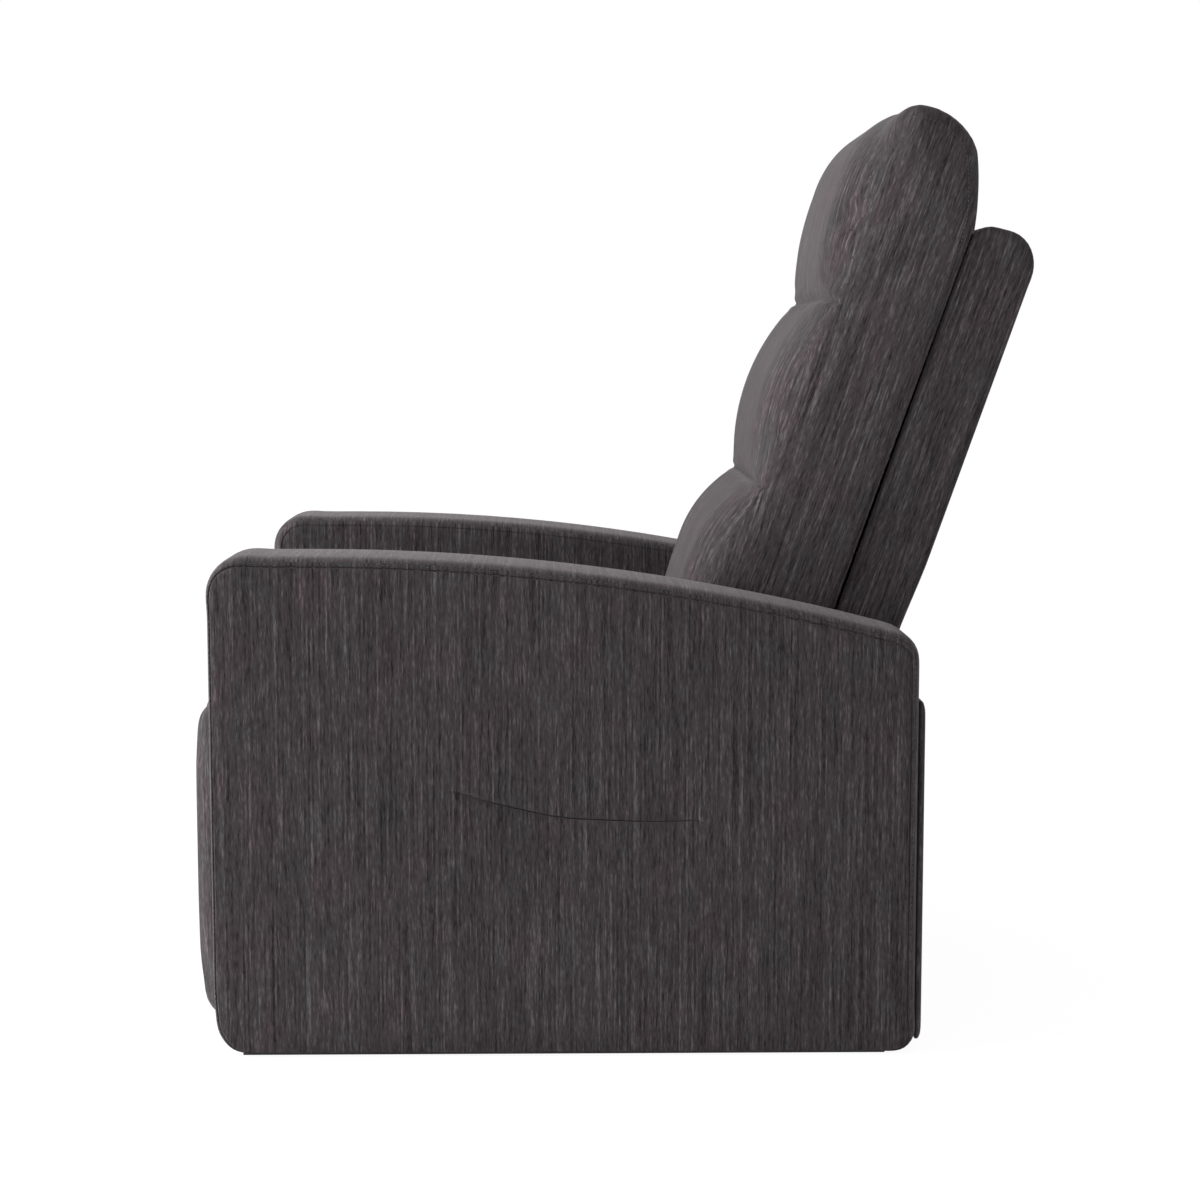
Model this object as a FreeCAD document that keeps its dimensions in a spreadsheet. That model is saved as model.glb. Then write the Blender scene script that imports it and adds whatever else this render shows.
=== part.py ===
# Recliner armchair: fixed arms and seat, lever-driven footrest linkage, reclining back.
# Frame: +Z up, front towards -Y, the sitter's left towards +X, origin on the floor at the
# centre of the overall box. The chair itself is symmetric about X = centre_shift, because
# the release lever stands out on the right side only.
import FreeCAD, Part
import os
import re
import Sketcher

DOC = FreeCAD.newDocument("recliner_armchair")
SHEET = DOC.addObject("Spreadsheet::Sheet", "sizes")
V = FreeCAD.Vector

# alias, value in mm or degrees, what it is. Y is negative in front of the origin.
DRIVING = (
    ("inner_half_width", 233, "centre plane to an arm's inner face"),
    ("arm_width", 132, "inner to outer face of an arm"),
    ("arm_front", -440, "Y of the arms' front"),
    ("arm_rear", 337, "Y of the arms' rear"),
    ("arm_top", 554, "top of the arms at the front"),
    ("arm_level_end", -335, "Y where the arm top starts to fall"),
    ("arm_rear_top", 463, "top of the arms at the rear"),
    ("arm_front_corner", 50, "radius of the upper front corner"),
    ("arm_rear_corner", 28, "radius of the upper rear corner"),
    ("arm_toe_corner", 34, "radius of the lower front corner"),
    ("arm_heel_corner", 28, "radius of the lower rear corner"),
    ("cover_wall", 12, "foam and fabric on the arm"),
    ("frame_ring", 30, "timber of the arm's rim"),
    ("inner_panel", 15, "plywood on the inner side of the arm"),
    ("side_board", 4, "hardboard behind the outer cover"),
    ("glide_height", 5, "plastic strip under the arm"),
    ("glide_front", -408, "Y of the strip's front end"),
    ("glide_rear", 303, "Y of the strip's rear end"),
    ("inner_pad_bottom", 348, "lower edge of the arm's inner upholstery"),
    ("steel", 3, "thickness of plates and links"),
    ("rail_bottom", 311, "underside of the seat frame"),
    ("rail_height", 36, "seat frame timber, standing"),
    ("rail_width", 25, "seat frame timber, lying"),
    ("seat_frame_front", -400, "Y of the seat frame's front"),
    ("seat_frame_rear", 225, "Y of the seat frame's rear"),
    ("side_rail_clear", 11.5, "side rails to the arms' inner faces"),
    ("bracket_wing", 30, "angle bracket along the arm"),
    ("bracket_margin", 4, "angle bracket inside the rail's edges"),
    ("wire_radius", 1.9, "sinuous spring wire"),
    ("spring_count", 5, "springs across the seat"),
    ("spring_pitch", 80, "distance between springs"),
    ("spring_amplitude", 24, "half width of a spring's waves"),
    ("spring_waves", 26, "half waves along a spring"),
    ("cushion_front", -425, "Y of the seat cushion's front"),
    ("cushion_rear", 212, "Y of the seat cushion's rear"),
    ("cushion_gap", 4, "cushion side to arm"),
    ("cushion_lift", 2, "cushion above the springs"),
    ("seat_top", 434, "top of the seat cushion"),
    ("cushion_corner", 34, "radius of the cushion's front edge"),
    ("base_rail_height", 70, "lower cross rails, standing"),
    ("base_rail_clear", 12, "lower cross rails above the arm's lower face"),
    ("front_rail_y", -290, "Y of the lower front cross rail"),
    ("rear_rail_y", 280, "Y of the lower rear cross rail"),
    ("top_rail_depth", 18, "upper rear cross rail, front to rear"),
    ("top_rail_bottom", 300, "underside of the upper rear cross rail"),
    ("top_rail_height", 46, "upper rear cross rail, standing"),
    ("nailing_height", 78, "strip of that rail behind the back panel"),
    ("rear_panel_thickness", 7.5, "outside back board with fabric"),
    ("rear_panel_inset", 13, "side edge of the board inside the arm's outer face"),
    ("rear_panel_bottom", 12, "lower edge of the board"),
    ("rear_panel_top", 393, "upper edge of the board"),
    ("tube_y", -150, "Y of the torque tube"),
    ("tube_z", 245, "height of the torque tube"),
    ("tube_radius", 10, "torque tube, outside"),
    ("tube_wall", 2, "torque tube wall"),
    ("front_pivot_y", -365, "Y of the rear link's fixed pivot"),
    ("front_pivot_z", 215, "height of the rear link's fixed pivot"),
    ("rear_link_length", 170, "rear link, pivot to pivot"),
    ("rear_link_angle", 8, "rear link behind the plumb line when closed"),
    ("long_link_length", 190, "long link, pivot to pivot"),
    ("long_link_angle", 13, "long link behind the plumb line when closed"),
    ("control_offset", 60, "control link's distance along the rear link"),
    ("crank_arm", 50, "crank and bell arm, centre to pin"),
    ("crank_angle", 45, "crank in front of upright when closed"),
    ("link_half", 10, "half width of the main links"),
    ("slim_half", 8.5, "half width of the drag and control links"),
    ("pivot_radius", 5, "fixed pivot pins"),
    ("rivet_radius", 4, "moving rivets"),
    ("rivet_head", 7, "radius of a rivet's head"),
    ("head_height", 2.2, "height of a rivet's head"),
    ("pin_clearance", 0.08, "running clearance of a pin, radial"),
    ("open_clearance", 0.3, "clearance at the pivots that close a loop, radial"),
    ("link_gap", 0.3, "end float beside a link"),
    ("arm_clearance", 1.5, "rear link to the arm's inner face"),
    ("drag_gap", 1, "drag link to rear link"),
    ("layer_gap", 3.5, "between the other link layers"),
    ("bush_wall", 2.5, "nylon bush on the torque tube"),
    ("bush_flange", 15, "radius of the bush's flange"),
    ("pad_front", -475, "Y of the footrest's front face"),
    ("pad_thickness", 45, "footrest upholstery"),
    ("pad_bottom", 6, "lower edge of the footrest"),
    ("pad_top", 402, "upper edge of the footrest"),
    ("pad_gap", 5, "footrest side to arm"),
    ("pad_upper_round", 40, "radius of the footrest's upper edge"),
    ("pad_lower_round", 32, "radius of the footrest's lower edge"),
    ("board_thickness", 12, "plywood behind the footrest"),
    ("board_inset", 26, "board inside the footrest's edges"),
    ("board_clear", 10, "board below the seat cushion"),
    ("flange_width", 26, "bracket flange on the board"),
    ("flange_bottom", 178, "lower end of the bracket flange"),
    ("flange_top", 285, "upper end of the bracket flange"),
    ("lever_gap", 0.5, "lever to escutcheon"),
    ("escutcheon", 3, "thickness of the lever's escutcheon"),
    ("escutcheon_radius", 30, "radius of the lever's escutcheon"),
    ("hub_radius", 21, "lever hub"),
    ("lever_thickness", 12, "lever blade"),
    ("lever_length", 150, "torque tube to lever end"),
    ("lever_rise", 14, "lever end above the torque tube"),
    ("grip_half", 16, "half height of the grip"),
    ("grip_length", 92, "length of the grip"),
    ("grip_stand", 8, "grip proud of the lever blade"),
    ("lean", 19.3, "back behind the plumb line, degrees"),
    ("back_ref_y", 370.65, "Y of a point on the plane between pillow and shell"),
    ("back_ref_z", 794, "height of that point"),
    ("shell_thickness", 76, "back shell, front to rear"),
    ("shell_gap", 9, "back shell to arm"),
    ("shell_top", 129.4, "top of the shell along the back, from the reference point"),
    ("shell_bottom", -385, "bottom of the shell along the back"),
    ("shell_rear_round", 37, "radius of the shell's upper rear edge"),
    ("shell_front_round", 20, "radius of the shell's upper front edge"),
    ("shell_wall", 12, "foam and fabric of the shell"),
    ("stile_width", 30, "back frame timber, seen from the front"),
    ("stile_clear", 3, "steel bracket between stile and shell"),
    ("back_rail_width", 40, "back frame rails, along the back"),
    ("back_rail_depth", 28, "back frame rails, front to rear"),
    ("lumbar_rail_s", -120, "lower edge of the middle rail, along the back"),
    ("web_width", 50, "elastic webbing"),
    ("web_pitch", 85, "distance between bands of webbing"),
    ("web_first_s", -320, "lowest band of webbing, along the back"),
    ("web_thickness", 2, "elastic webbing, slack"),
    ("pillow_side_gap", 5, "back pillow to arm"),
    ("pillow_bottom", 440, "height of the pillow's lower face"),
    ("pillow_gap", 1, "pillow to shell"),
    ("pillow_edge", 20, "radius of the pillow's lower front edge"),
    ("seat_depth_n", 172, "pillow thickness at the small of the back"),
    ("lower_swell_s", -340, "where the lower section reaches that thickness, along the back"),
    ("lower_channel_s", -227, "lower sewn channel, along the back"),
    ("lower_channel_n", 134, "pillow thickness at the lower channel"),
    ("upper_channel_s", -3, "upper sewn channel, along the back"),
    ("upper_channel_n", 131, "pillow thickness at the upper channel"),
    ("head_s", 130, "thickest part of the head section, along the back"),
    ("head_n", 155, "pillow thickness at the head"),
    ("brow_s", 227, "front of the crown, along the back"),
    ("brow_n", 112, "front of the crown, ahead of the shell"),
    ("crown_s", 206, "rear of the crown, along the back"),
    ("crown_n", 32, "rear of the crown, ahead of the shell"),
    ("nape_s", 114, "where the pillow leaves the shell, along the back"),
    ("lower_swell_arc", 154, "radius of the lower section"),
    ("middle_swell_arc", 259, "radius of the middle section"),
    ("head_swell_arc", 343, "radius of the head section below its thickest part"),
    ("brow_arc", 109, "radius above the thickest part"),
    ("crown_arc", 75, "radius of the crown"),
    ("nape_arc", 250, "radius of the rear of the head"),
    ("hinge_y", 265, "Y of the back hinge"),
    ("hinge_z", 406, "height of the back hinge"),
    ("hinge_ear", 17, "radius of the hinge ears"),
    ("hinge_clear", 1, "fixed hinge ear to back shell"),
    ("hinge_flange", 26, "hinge plate's flange on the seat frame"),
    ("pouch_front", -165, "Y of the side pocket's front"),
    ("pouch_rear", 95, "Y of the side pocket's rear"),
    ("pouch_bottom", 125, "bottom of the side pocket"),
    ("pouch_top", 258, "rim of the side pocket"),
    ("pouch_depth", 16, "side pocket, across"),
    ("pouch_cloth", 1.5, "side pocket's cloth"),
    ("bolt_radius", 4, "bolt shanks"),
    ("bolt_head", 8, "radius of bolt heads"),
    ("bolt_head_height", 4, "height of bolt heads"),
    ("bolt_grip", 12, "bolt shank in the timber"),
)

# alias, formula, what it is.
DERIVED = (
    ("outer_half_width", "=inner_half_width + arm_width", "centre plane to an arm's outer face"),
    ("lever_reach", "=escutcheon + lever_gap + lever_thickness + grip_stand", "lever outside the arm"),
    ("centre_shift", "=lever_reach / 2", "chair's centre plane from the overall box's centre"),
    ("arm_drop", "=arm_top - arm_rear_top", "fall of the arm's top"),
    ("arm_run", "=arm_rear - arm_level_end", "length of the falling part"),
    ("arm_arc", "=(arm_run ^ 2 + arm_drop ^ 2) / (2 * arm_drop)", "radius of the arm's top"),
    ("panel_face", "=inner_half_width + cover_wall", "arm frame's inner face"),
    ("side_rail_outer", "=inner_half_width - side_rail_clear", "half width over the side rails"),
    ("rail_top", "=rail_bottom + rail_height", "top of the seat frame"),
    ("wire_z", "=rail_top + wire_radius", "centre of the spring wire"),
    ("cushion_bottom", "=rail_top + 2 * wire_radius + cushion_lift", "seat cushion's lower face"),
    ("plate_in", "=panel_face - steel", "mechanism plate's inner face"),
    ("rear_out", "=inner_half_width - arm_clearance", "rear link's outer face"),
    ("rear_in", "=rear_out - steel", "rear link's inner face"),
    ("drag_in", "=rear_out + drag_gap", "drag link's inner face"),
    ("drag_out", "=drag_in + steel", "drag link's outer face"),
    ("control_out", "=rear_in - layer_gap", "control link's outer face"),
    ("control_in", "=control_out - steel", "control link's inner face"),
    ("long_out", "=control_in - layer_gap", "long link's outer face"),
    ("long_in", "=long_out - steel", "long link's inner face"),
    ("bracket_out", "=long_in - layer_gap", "footrest bracket's outer face"),
    ("bracket_in", "=bracket_out - steel", "footrest bracket's inner face"),
    ("low_y", "=front_pivot_y + rear_link_length * sin(rear_link_angle)", "low pivot"),
    ("low_z", "=front_pivot_z - rear_link_length * cos(rear_link_angle)", "low pivot"),
    ("high_y", "=low_y + long_link_length * sin(long_link_angle)", "long link to bracket"),
    ("high_z", "=low_z + long_link_length * cos(long_link_angle)", "long link to bracket"),
    ("offset_y", "=-control_offset * sin(rear_link_angle)", "step to the control link"),
    ("offset_z", "=control_offset * cos(rear_link_angle)", "step to the control link"),
    ("arm_step_y", "=-crank_arm * sin(crank_angle)", "crank centre to pin"),
    ("arm_step_z", "=crank_arm * cos(crank_angle)", "crank centre to pin"),
    ("pad_back", "=pad_front + pad_thickness", "back of the footrest pad"),
    ("board_back", "=pad_back + board_thickness", "back of the footrest board"),
    ("pad_half", "=inner_half_width - pad_gap", "half width of the footrest"),
    ("escutcheon_out", "=outer_half_width + escutcheon", "escutcheon's outer face"),
    ("lever_in", "=escutcheon_out + lever_gap", "lever blade's inner face"),
    ("lever_out", "=lever_in + lever_thickness", "lever blade's outer face"),
    ("shell_half", "=inner_half_width - shell_gap", "half width of the back shell"),
    ("pillow_half", "=inner_half_width - pillow_side_gap", "half width of the back pillow"),
    ("hinge_in", "=shell_half + hinge_clear", "fixed hinge ear's inner face"),
    ("hinge_out", "=hinge_in + steel", "fixed hinge ear's outer face"),
    ("cavity_half", "=shell_half - shell_wall", "half width inside the shell"),
    ("stile_outer", "=cavity_half - stile_clear", "outer face of the back frame"),
    ("stile_inner", "=stile_outer - stile_width", "inner face of a stile"),
    ("hinge_s", "=(hinge_y - back_ref_y) * sin(lean) + (hinge_z - back_ref_z) * cos(lean)",
     "hinge along the back"),
    ("hinge_n", "=(hinge_z - back_ref_z) * sin(lean) - (hinge_y - back_ref_y) * cos(lean)",
     "hinge in front of the reference plane"),
    ("pouch_out", "=outer_half_width - cover_wall - side_board", "side pocket's outer face"),
)

ALIASES = [row[0] for row in DRIVING + DERIVED]
NODES = []


def fill_sheet():
    for number, (alias, size, meaning) in enumerate(DRIVING + DERIVED, 1):
        SHEET.set("A%d" % number, meaning)
        SHEET.set("B%d" % number, str(size))
        SHEET.setAlias("B%d" % number, alias)
    DOC.recompute()


def bound(text):
    """The expression with every alias pointing at the sheet."""
    return re.sub(r"[a-z_]+", lambda m: "sizes." + m.group() if m.group() in ALIASES else m.group(), text)


def number(text):
    """The expression's value now."""
    return float(SHEET.evalExpression(text))


def times(side, text):
    """The expression for the left side, or mirrored for the right."""
    return text if side > 0 else "-(%s)" % text


def span(side, near, far):
    """Start and end in X of something between near and far on one side."""
    return (near, far) if side > 0 else (times(side, far), times(side, near))


def on_back(along, ahead):
    """A point given along the back and in front of the reference plane."""
    y = "back_ref_y + (%s) * sin(lean) - (%s) * cos(lean)" % (along, ahead)
    z = "back_ref_z + (%s) * cos(lean) + (%s) * sin(lean)" % (along, ahead)
    return y, z


def fix(sketch, geometry, point, place):
    for kind, text in zip(("DistanceX", "DistanceY"), place):
        index = sketch.addConstraint(Sketcher.Constraint(kind, -1, 1, geometry, point, number(text)))
        sketch.setExpression("Constraints[%d]" % index, bound(text))


def fix_radius(sketch, geometry, text):
    index = sketch.addConstraint(Sketcher.Constraint("Radius", geometry, number(text)))
    sketch.setExpression("Constraints[%d]" % index, bound(text))


def flat(place):
    return V(number(place[0]), number(place[1]), 0)


def draw_circle(sketch, centre, radius):
    circle = sketch.addGeometry(Part.Circle(flat(centre), V(0, 0, 1), number(radius)), False)
    fix(sketch, circle, 3, centre)
    fix_radius(sketch, circle, radius)


def draw_outline(sketch, corners):
    """Closed loop, anticlockwise. A corner is (y, z) or (y, z, radius of the bulge to the next)."""
    edges = []
    for corner, following in zip(corners, corners[1:] + corners[:1]):
        start, end = flat(corner), flat(following)
        if len(corner) == 2:
            edges.append(sketch.addGeometry(Part.LineSegment(start, end), False))
            fix(sketch, edges[-1], 1, corner[:2])
            continue
        radius = number(corner[2])
        chord = end - start
        inward = V(-chord.y, chord.x, 0).normalize()
        centre = (start + end) / 2 + inward * (radius ** 2 - (chord.Length / 2) ** 2) ** 0.5
        first = V(1, 0, 0).getAngle(start - centre)
        first = first if start.y > centre.y else -first
        turn = (start - centre).getAngle(end - centre)
        circle = Part.Circle(centre, V(0, 0, 1), radius)
        edges.append(sketch.addGeometry(Part.ArcOfCircle(circle, first, first + turn), False))
        fix(sketch, edges[-1], 1, corner[:2])
        fix_radius(sketch, edges[-1], corner[2])
    for edge, following in zip(edges, edges[1:] + edges[:1]):
        sketch.addConstraint(Sketcher.Constraint("Coincident", edge, 2, following, 1))


def draw_slot(sketch, first, second, half):
    """A strip with round ends about two centres."""
    start, end, radius = flat(first), flat(second), number(half)
    along = (end - start).normalize()
    side = V(-along.y, along.x, 0) * radius
    caps = []
    for centre, outward in ((start, -1), (end, 1)):
        tip = centre + along * radius * outward
        arc = Part.Arc(centre - side * outward, tip, centre + side * outward)
        caps.append(sketch.addGeometry(arc, False))
    left = sketch.addGeometry(Part.LineSegment(end + side, start + side), False)
    right = sketch.addGeometry(Part.LineSegment(start - side, end - side), False)
    loop = (caps[0], right, caps[1], left)
    for edge, following in zip(loop, loop[1:] + loop[:1]):
        sketch.addConstraint(Sketcher.Constraint("Tangent", edge, 2, following, 1))
    fix(sketch, caps[0], 3, first)
    fix(sketch, caps[1], 3, second)
    fix_radius(sketch, caps[0], half)


def new_body(label):
    body = DOC.addObject("PartDesign::Body", label)
    body.Label = label
    body.setExpression("Placement.Base.x", bound("centre_shift"))
    NODES.append(body)
    return body


def new_sketch(body, start):
    """A sketch in the Y-Z plane at X = start."""
    sketch = body.newObject("Sketcher::SketchObject", body.Label + "_sketch")
    sketch.AttachmentSupport = ([f for f in body.Origin.OriginFeatures if f.Role == "YZ_Plane"][0], "")
    sketch.MapMode = "FlatFace"
    sketch.setExpression("AttachmentOffset.Base.z", bound(start))
    return sketch


def extrude(kind, body, reach, drawings):
    """A pad or pocket of the drawn loops between two values of X."""
    start, end = reach
    sketch = new_sketch(body, start)
    for draw, arguments in drawings:
        draw(sketch, *arguments)
    feature = body.newObject("PartDesign::" + kind, body.Label + "_" + kind.lower())
    feature.Profile = sketch
    feature.Reversed = kind == "Pocket"
    feature.setExpression("Length", bound("(%s) - (%s)" % (end, start)))
    DOC.recompute()
    return feature


def pad(body, reach, *drawings):
    extrude("Pad", body, reach, drawings)


def pocket(body, reach, *drawings):
    before = body.Shape.Volume
    extrude("Pocket", body, reach, drawings)
    if not body.Shape.Volume < before:
        raise ValueError("pocket cuts nothing in " + body.Label)


def outline(*corners):
    return draw_outline, (list(corners),)


def circle(centre, radius):
    return draw_circle, (centre, radius)


def slot(first, second, half):
    return draw_slot, (first, second, half)


def rectangle(front, rear, bottom, top):
    return outline((front, bottom), (rear, bottom), (rear, top), (front, top))


def cross_edges(body, places):
    """Names of the edges along X that stand on the given points."""
    names = []
    for index, edge in enumerate(body.Shape.Edges, 1):
        ends = [vertex.Point for vertex in edge.Vertexes]
        if len(ends) != 2 or abs(ends[0].y - ends[1].y) + abs(ends[0].z - ends[1].z) > 1e-6:
            continue
        for y, z in places:
            if abs(ends[0].y - y) + abs(ends[0].z - z) < 1e-3:
                names.append("Edge%d" % index)
    return names


def soften(body, radius, *places):
    """Round the edges along X at these points."""
    spots = [(number(y), number(z)) for y, z in places]
    names = cross_edges(body, spots)
    if len(names) < len(spots):
        raise ValueError("an edge to round is missing in " + body.Label)
    fillet = body.newObject("PartDesign::Fillet", body.Label + "_fillet")
    fillet.Base = (body.Tip if body.Tip != fillet else fillet.BaseFeature, names)
    fillet.setExpression("Radius", bound(radius))
    DOC.recompute()


def box(label, x, y, z):
    """A plain block between pairs of expressions."""
    block = DOC.addObject("Part::Box", label)
    for length, base, (low, high) in zip(("Length", "Width", "Height"), "xyz", (x, y, z)):
        block.setExpression(length, bound("(%s) - (%s)" % (high, low)))
        shift = "centre_shift + " if base == "x" else ""
        block.setExpression("Placement.Base." + base, bound(shift + "(%s)" % low))
    return block


def group(label, members):
    """Like pieces that share one node."""
    compound = DOC.addObject("Part::Compound", label)
    compound.Label = label
    compound.Links = members
    NODES.append(compound)


def single_box(label, x, y, z):
    NODES.append(box(label, x, y, z))
    NODES[-1].Label = label


def side_name(side):
    return "left" if side > 0 else "right"


# ---- arms -------------------------------------------------------------------------------

def arm_outline(inset, floor="glide_height"):
    """The arm seen from the side, brought in by inset, from a floor height up."""
    front = "arm_front + %s" % inset
    rear = "arm_rear - %s" % inset
    arc = "arm_arc - %s" % inset
    end = "arm_top - arm_arc + sqrt((%s) ^ 2 - (%s - arm_level_end) ^ 2)" % (arc, rear)
    bottom = "%s + %s" % (floor, inset)
    top = "arm_top - %s" % inset
    return [(front, bottom), (rear, bottom), (rear, end, arc), ("arm_level_end", top), (front, top)]


def arm_corners(inset):
    toe, heel, rear_top, _, front_top = arm_outline(inset)
    return (("arm_toe_corner", toe), ("arm_heel_corner", heel),
            ("arm_rear_corner", rear_top[:2]), ("arm_front_corner", front_top))


def round_arm(body, inset):
    for radius, place in arm_corners(inset):
        soften(body, "%s - %s" % (radius, inset), place)


def make_arm(side):
    name = side_name(side)
    cover = new_body(name + "_arm_cover")
    pad(cover, span(side, "inner_half_width", "outer_half_width"), outline(*arm_outline("0")))
    pocket(cover, span(side, "inner_half_width", "outer_half_width - cover_wall"),
           outline(*arm_outline("cover_wall")))
    round_arm(cover, "cover_wall")
    round_arm(cover, "0")

    frame = new_body(name + "_arm_frame")
    board_in = "outer_half_width - cover_wall - side_board"
    pad(frame, span(side, "panel_face", board_in), outline(*arm_outline("cover_wall")))
    round_arm(frame, "cover_wall")
    pocket(frame, span(side, "panel_face + inner_panel", board_in),
           outline(*arm_outline("(cover_wall + frame_ring)")))
    pocket(frame, span(side, "panel_face", "panel_face + inner_panel"),
           circle(("tube_y", "tube_z"), "tube_radius + bush_wall + 2"))

    board = new_body(name + "_side_board")
    pad(board, span(side, board_in, "outer_half_width - cover_wall"), outline(*arm_outline("cover_wall")))
    round_arm(board, "cover_wall")

    inner = new_body(name + "_arm_inner_pad")
    upper = arm_outline("cover_wall")
    upper[0] = (upper[0][0], "inner_pad_bottom")
    upper[1] = (upper[1][0], "inner_pad_bottom")
    pad(inner, span(side, "inner_half_width", "panel_face"), outline(*upper))
    for radius, place in arm_corners("cover_wall")[2:]:
        soften(inner, radius + " - cover_wall", place)

    single_box(name + "_glide_strip", span(side, "panel_face", "outer_half_width - cover_wall"),
               ("glide_front", "glide_rear"), ("0", "glide_height"))
    if side < 0:
        tube = circle(("tube_y", "tube_z"), "tube_radius + 2")
        pocket(cover, span(side, "outer_half_width - cover_wall", "outer_half_width"), tube)
        pocket(board, span(side, board_in, "outer_half_width - cover_wall"), tube)
    else:
        pocket(board, span(side, board_in, "outer_half_width - cover_wall"),
               rectangle("pouch_front + pouch_depth", "pouch_rear - pouch_depth",
                         "pouch_top", "pouch_top + pouch_depth"))


def make_pocket():
    """Cloth pouch that hangs inside the left arm, behind the slit in the cover."""
    pouch = new_body("side_pocket")
    pad(pouch, ("pouch_out - pouch_depth", "pouch_out"),
        rectangle("pouch_front", "pouch_rear", "pouch_bottom", "pouch_top"))
    pocket(pouch, ("pouch_out - pouch_depth + pouch_cloth", "pouch_out - pouch_cloth"),
           rectangle("pouch_front + pouch_cloth", "pouch_rear - pouch_cloth",
                     "pouch_bottom + pouch_cloth", "pouch_top"))


# ---- base and seat ----------------------------------------------------------------------

def make_cross_rails():
    across = ("-panel_face", "panel_face")
    bottom = "glide_height + base_rail_clear"
    tall = (bottom, bottom + " + base_rail_height")
    single_box("front_base_rail", across, ("front_rail_y", "front_rail_y + rail_width"), tall)
    single_box("rear_base_rail", across, ("rear_rail_y", "rear_rail_y + rail_width"), tall)
    top = new_body("rear_top_rail")
    joint = "arm_rear - cover_wall"
    pad(top, across, rectangle(joint + " - top_rail_depth", joint,
                               "top_rail_bottom", "top_rail_bottom + top_rail_height"))
    pad(top, ("-side_rail_outer", "side_rail_outer"),
        rectangle(joint, "arm_rear", "top_rail_bottom", "top_rail_bottom + nailing_height"))
    panel = new_body("outside_back_panel")
    front, rear = "arm_rear + link_gap", "arm_rear + link_gap + rear_panel_thickness"
    edge = "outer_half_width - rear_panel_inset"
    pad(panel, ("-(%s)" % edge, edge), rectangle(front, rear, "rear_panel_bottom", "rear_panel_top"))
    soften(panel, "rear_panel_thickness / 2", (rear, "rear_panel_bottom"), (rear, "rear_panel_top"))


def make_seat():
    frame = new_body("seat_frame")
    front = ("seat_frame_front", "seat_frame_front + rail_width")
    rear = ("seat_frame_rear - rail_width", "seat_frame_rear")
    for low, high in (front, rear):
        pad(frame, ("-panel_face", "panel_face"), rectangle(low, high, "rail_bottom", "rail_top"))
    for side in (1, -1):
        pad(frame, span(side, "side_rail_outer - rail_width", "side_rail_outer"),
            rectangle(front[1], rear[0], "rail_bottom", "rail_top"))

    cushion = new_body("seat_cushion")
    half = "inner_half_width - cushion_gap"
    pad(cushion, ("-(%s)" % half, half),
        rectangle("cushion_front", "cushion_rear", "cushion_bottom", "seat_top"))
    soften(cushion, "cushion_corner", ("cushion_front", "seat_top"))

    brackets = []
    for side in (1, -1):
        name = side_name(side)
        for end, low, high in (("front", front[1], front[1] + " + bracket_wing"),
                               ("rear", rear[0] + " - bracket_wing", rear[0])):
            leg = (low, low + " + steel") if end == "front" else (high + " - steel", high)
            tall = ("rail_bottom + bracket_margin", "rail_top - bracket_margin")
            parts = [box("%s_%s_bracket_wing" % (name, end), span(side, "plate_in", "panel_face"),
                         (low, high), tall),
                     box("%s_%s_bracket_leg" % (name, end),
                         span(side, "side_rail_outer + steel", "plate_in"), leg, tall)]
            angle = DOC.addObject("Part::Fuse", "%s_%s_angle" % (name, end))
            angle.Base, angle.Tool = parts
            brackets.append(angle)
    group("seat_frame_brackets", brackets)


def spring_wire(centre):
    """One zigzag wire from the front rail to the rear rail, with round bends."""
    radius = number("wire_radius")
    front = number("seat_frame_front + rail_width / 2")
    rear = number("seat_frame_rear - rail_width / 2")
    waves = int(number("spring_waves"))
    swing = number("spring_amplitude")
    height = number("wire_z")
    pitch = (rear - front) / waves
    bend = pitch / 2
    edges = []
    for wave in range(waves + 1):
        y = front + wave * pitch
        near = centre - swing + bend
        far = centre + swing - bend
        edges.append(Part.LineSegment(V(near, y, height), V(far, y, height)).toShape())
        if wave < waves:
            out = 1 if wave % 2 == 0 else -1
            x = far if out > 0 else near
            edges.append(Part.Arc(V(x, y, height), V(x + out * bend, y + bend, height),
                                  V(x, y + pitch, height)).toShape())
    path = Part.Wire(Part.__sortEdges__(edges))
    start = path.OrderedVertexes[0].Point
    ring = Part.Wire(Part.Circle(start, V(1, 0, 0), radius).toShape())
    return path.makePipeShell([ring], True, False)


def make_springs():
    count = int(number("spring_count"))
    centres = [number("spring_pitch") * (index - (count - 1) / 2) for index in range(count)]
    springs = DOC.addObject("Part::Feature", "seat_springs")
    springs.Shape = Part.Compound([spring_wire(centre) for centre in centres])
    springs.setExpression("Placement.Base.x", bound("centre_shift"))
    NODES.append(springs)

    clips = []
    for index in range(count):
        middle = "spring_pitch * (%d - (spring_count - 1) / 2)" % index
        for end, y in (("front", "seat_frame_front + rail_width / 2"),
                       ("rear", "seat_frame_rear - rail_width / 2")):
            name = "clip_%d_%s" % (index, end)
            block = box(name + "_block", (middle + " - 3 * wire_radius", middle + " + 3 * wire_radius"),
                        (y + " - 3 * wire_radius", y + " + 3 * wire_radius"),
                        ("rail_top", "cushion_bottom - link_gap"))
            groove = box(name + "_groove", (middle + " - 4 * wire_radius", middle + " + 4 * wire_radius"),
                         (y + " - 1.05 * wire_radius", y + " + 1.05 * wire_radius"),
                         ("rail_top - wire_radius", "wire_z + wire_radius"))
            clip = DOC.addObject("Part::Cut", name)
            clip.Base, clip.Tool = block, groove
            clips.append(clip)
    group("spring_clips", clips)


# ---- footrest mechanism -----------------------------------------------------------------

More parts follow.
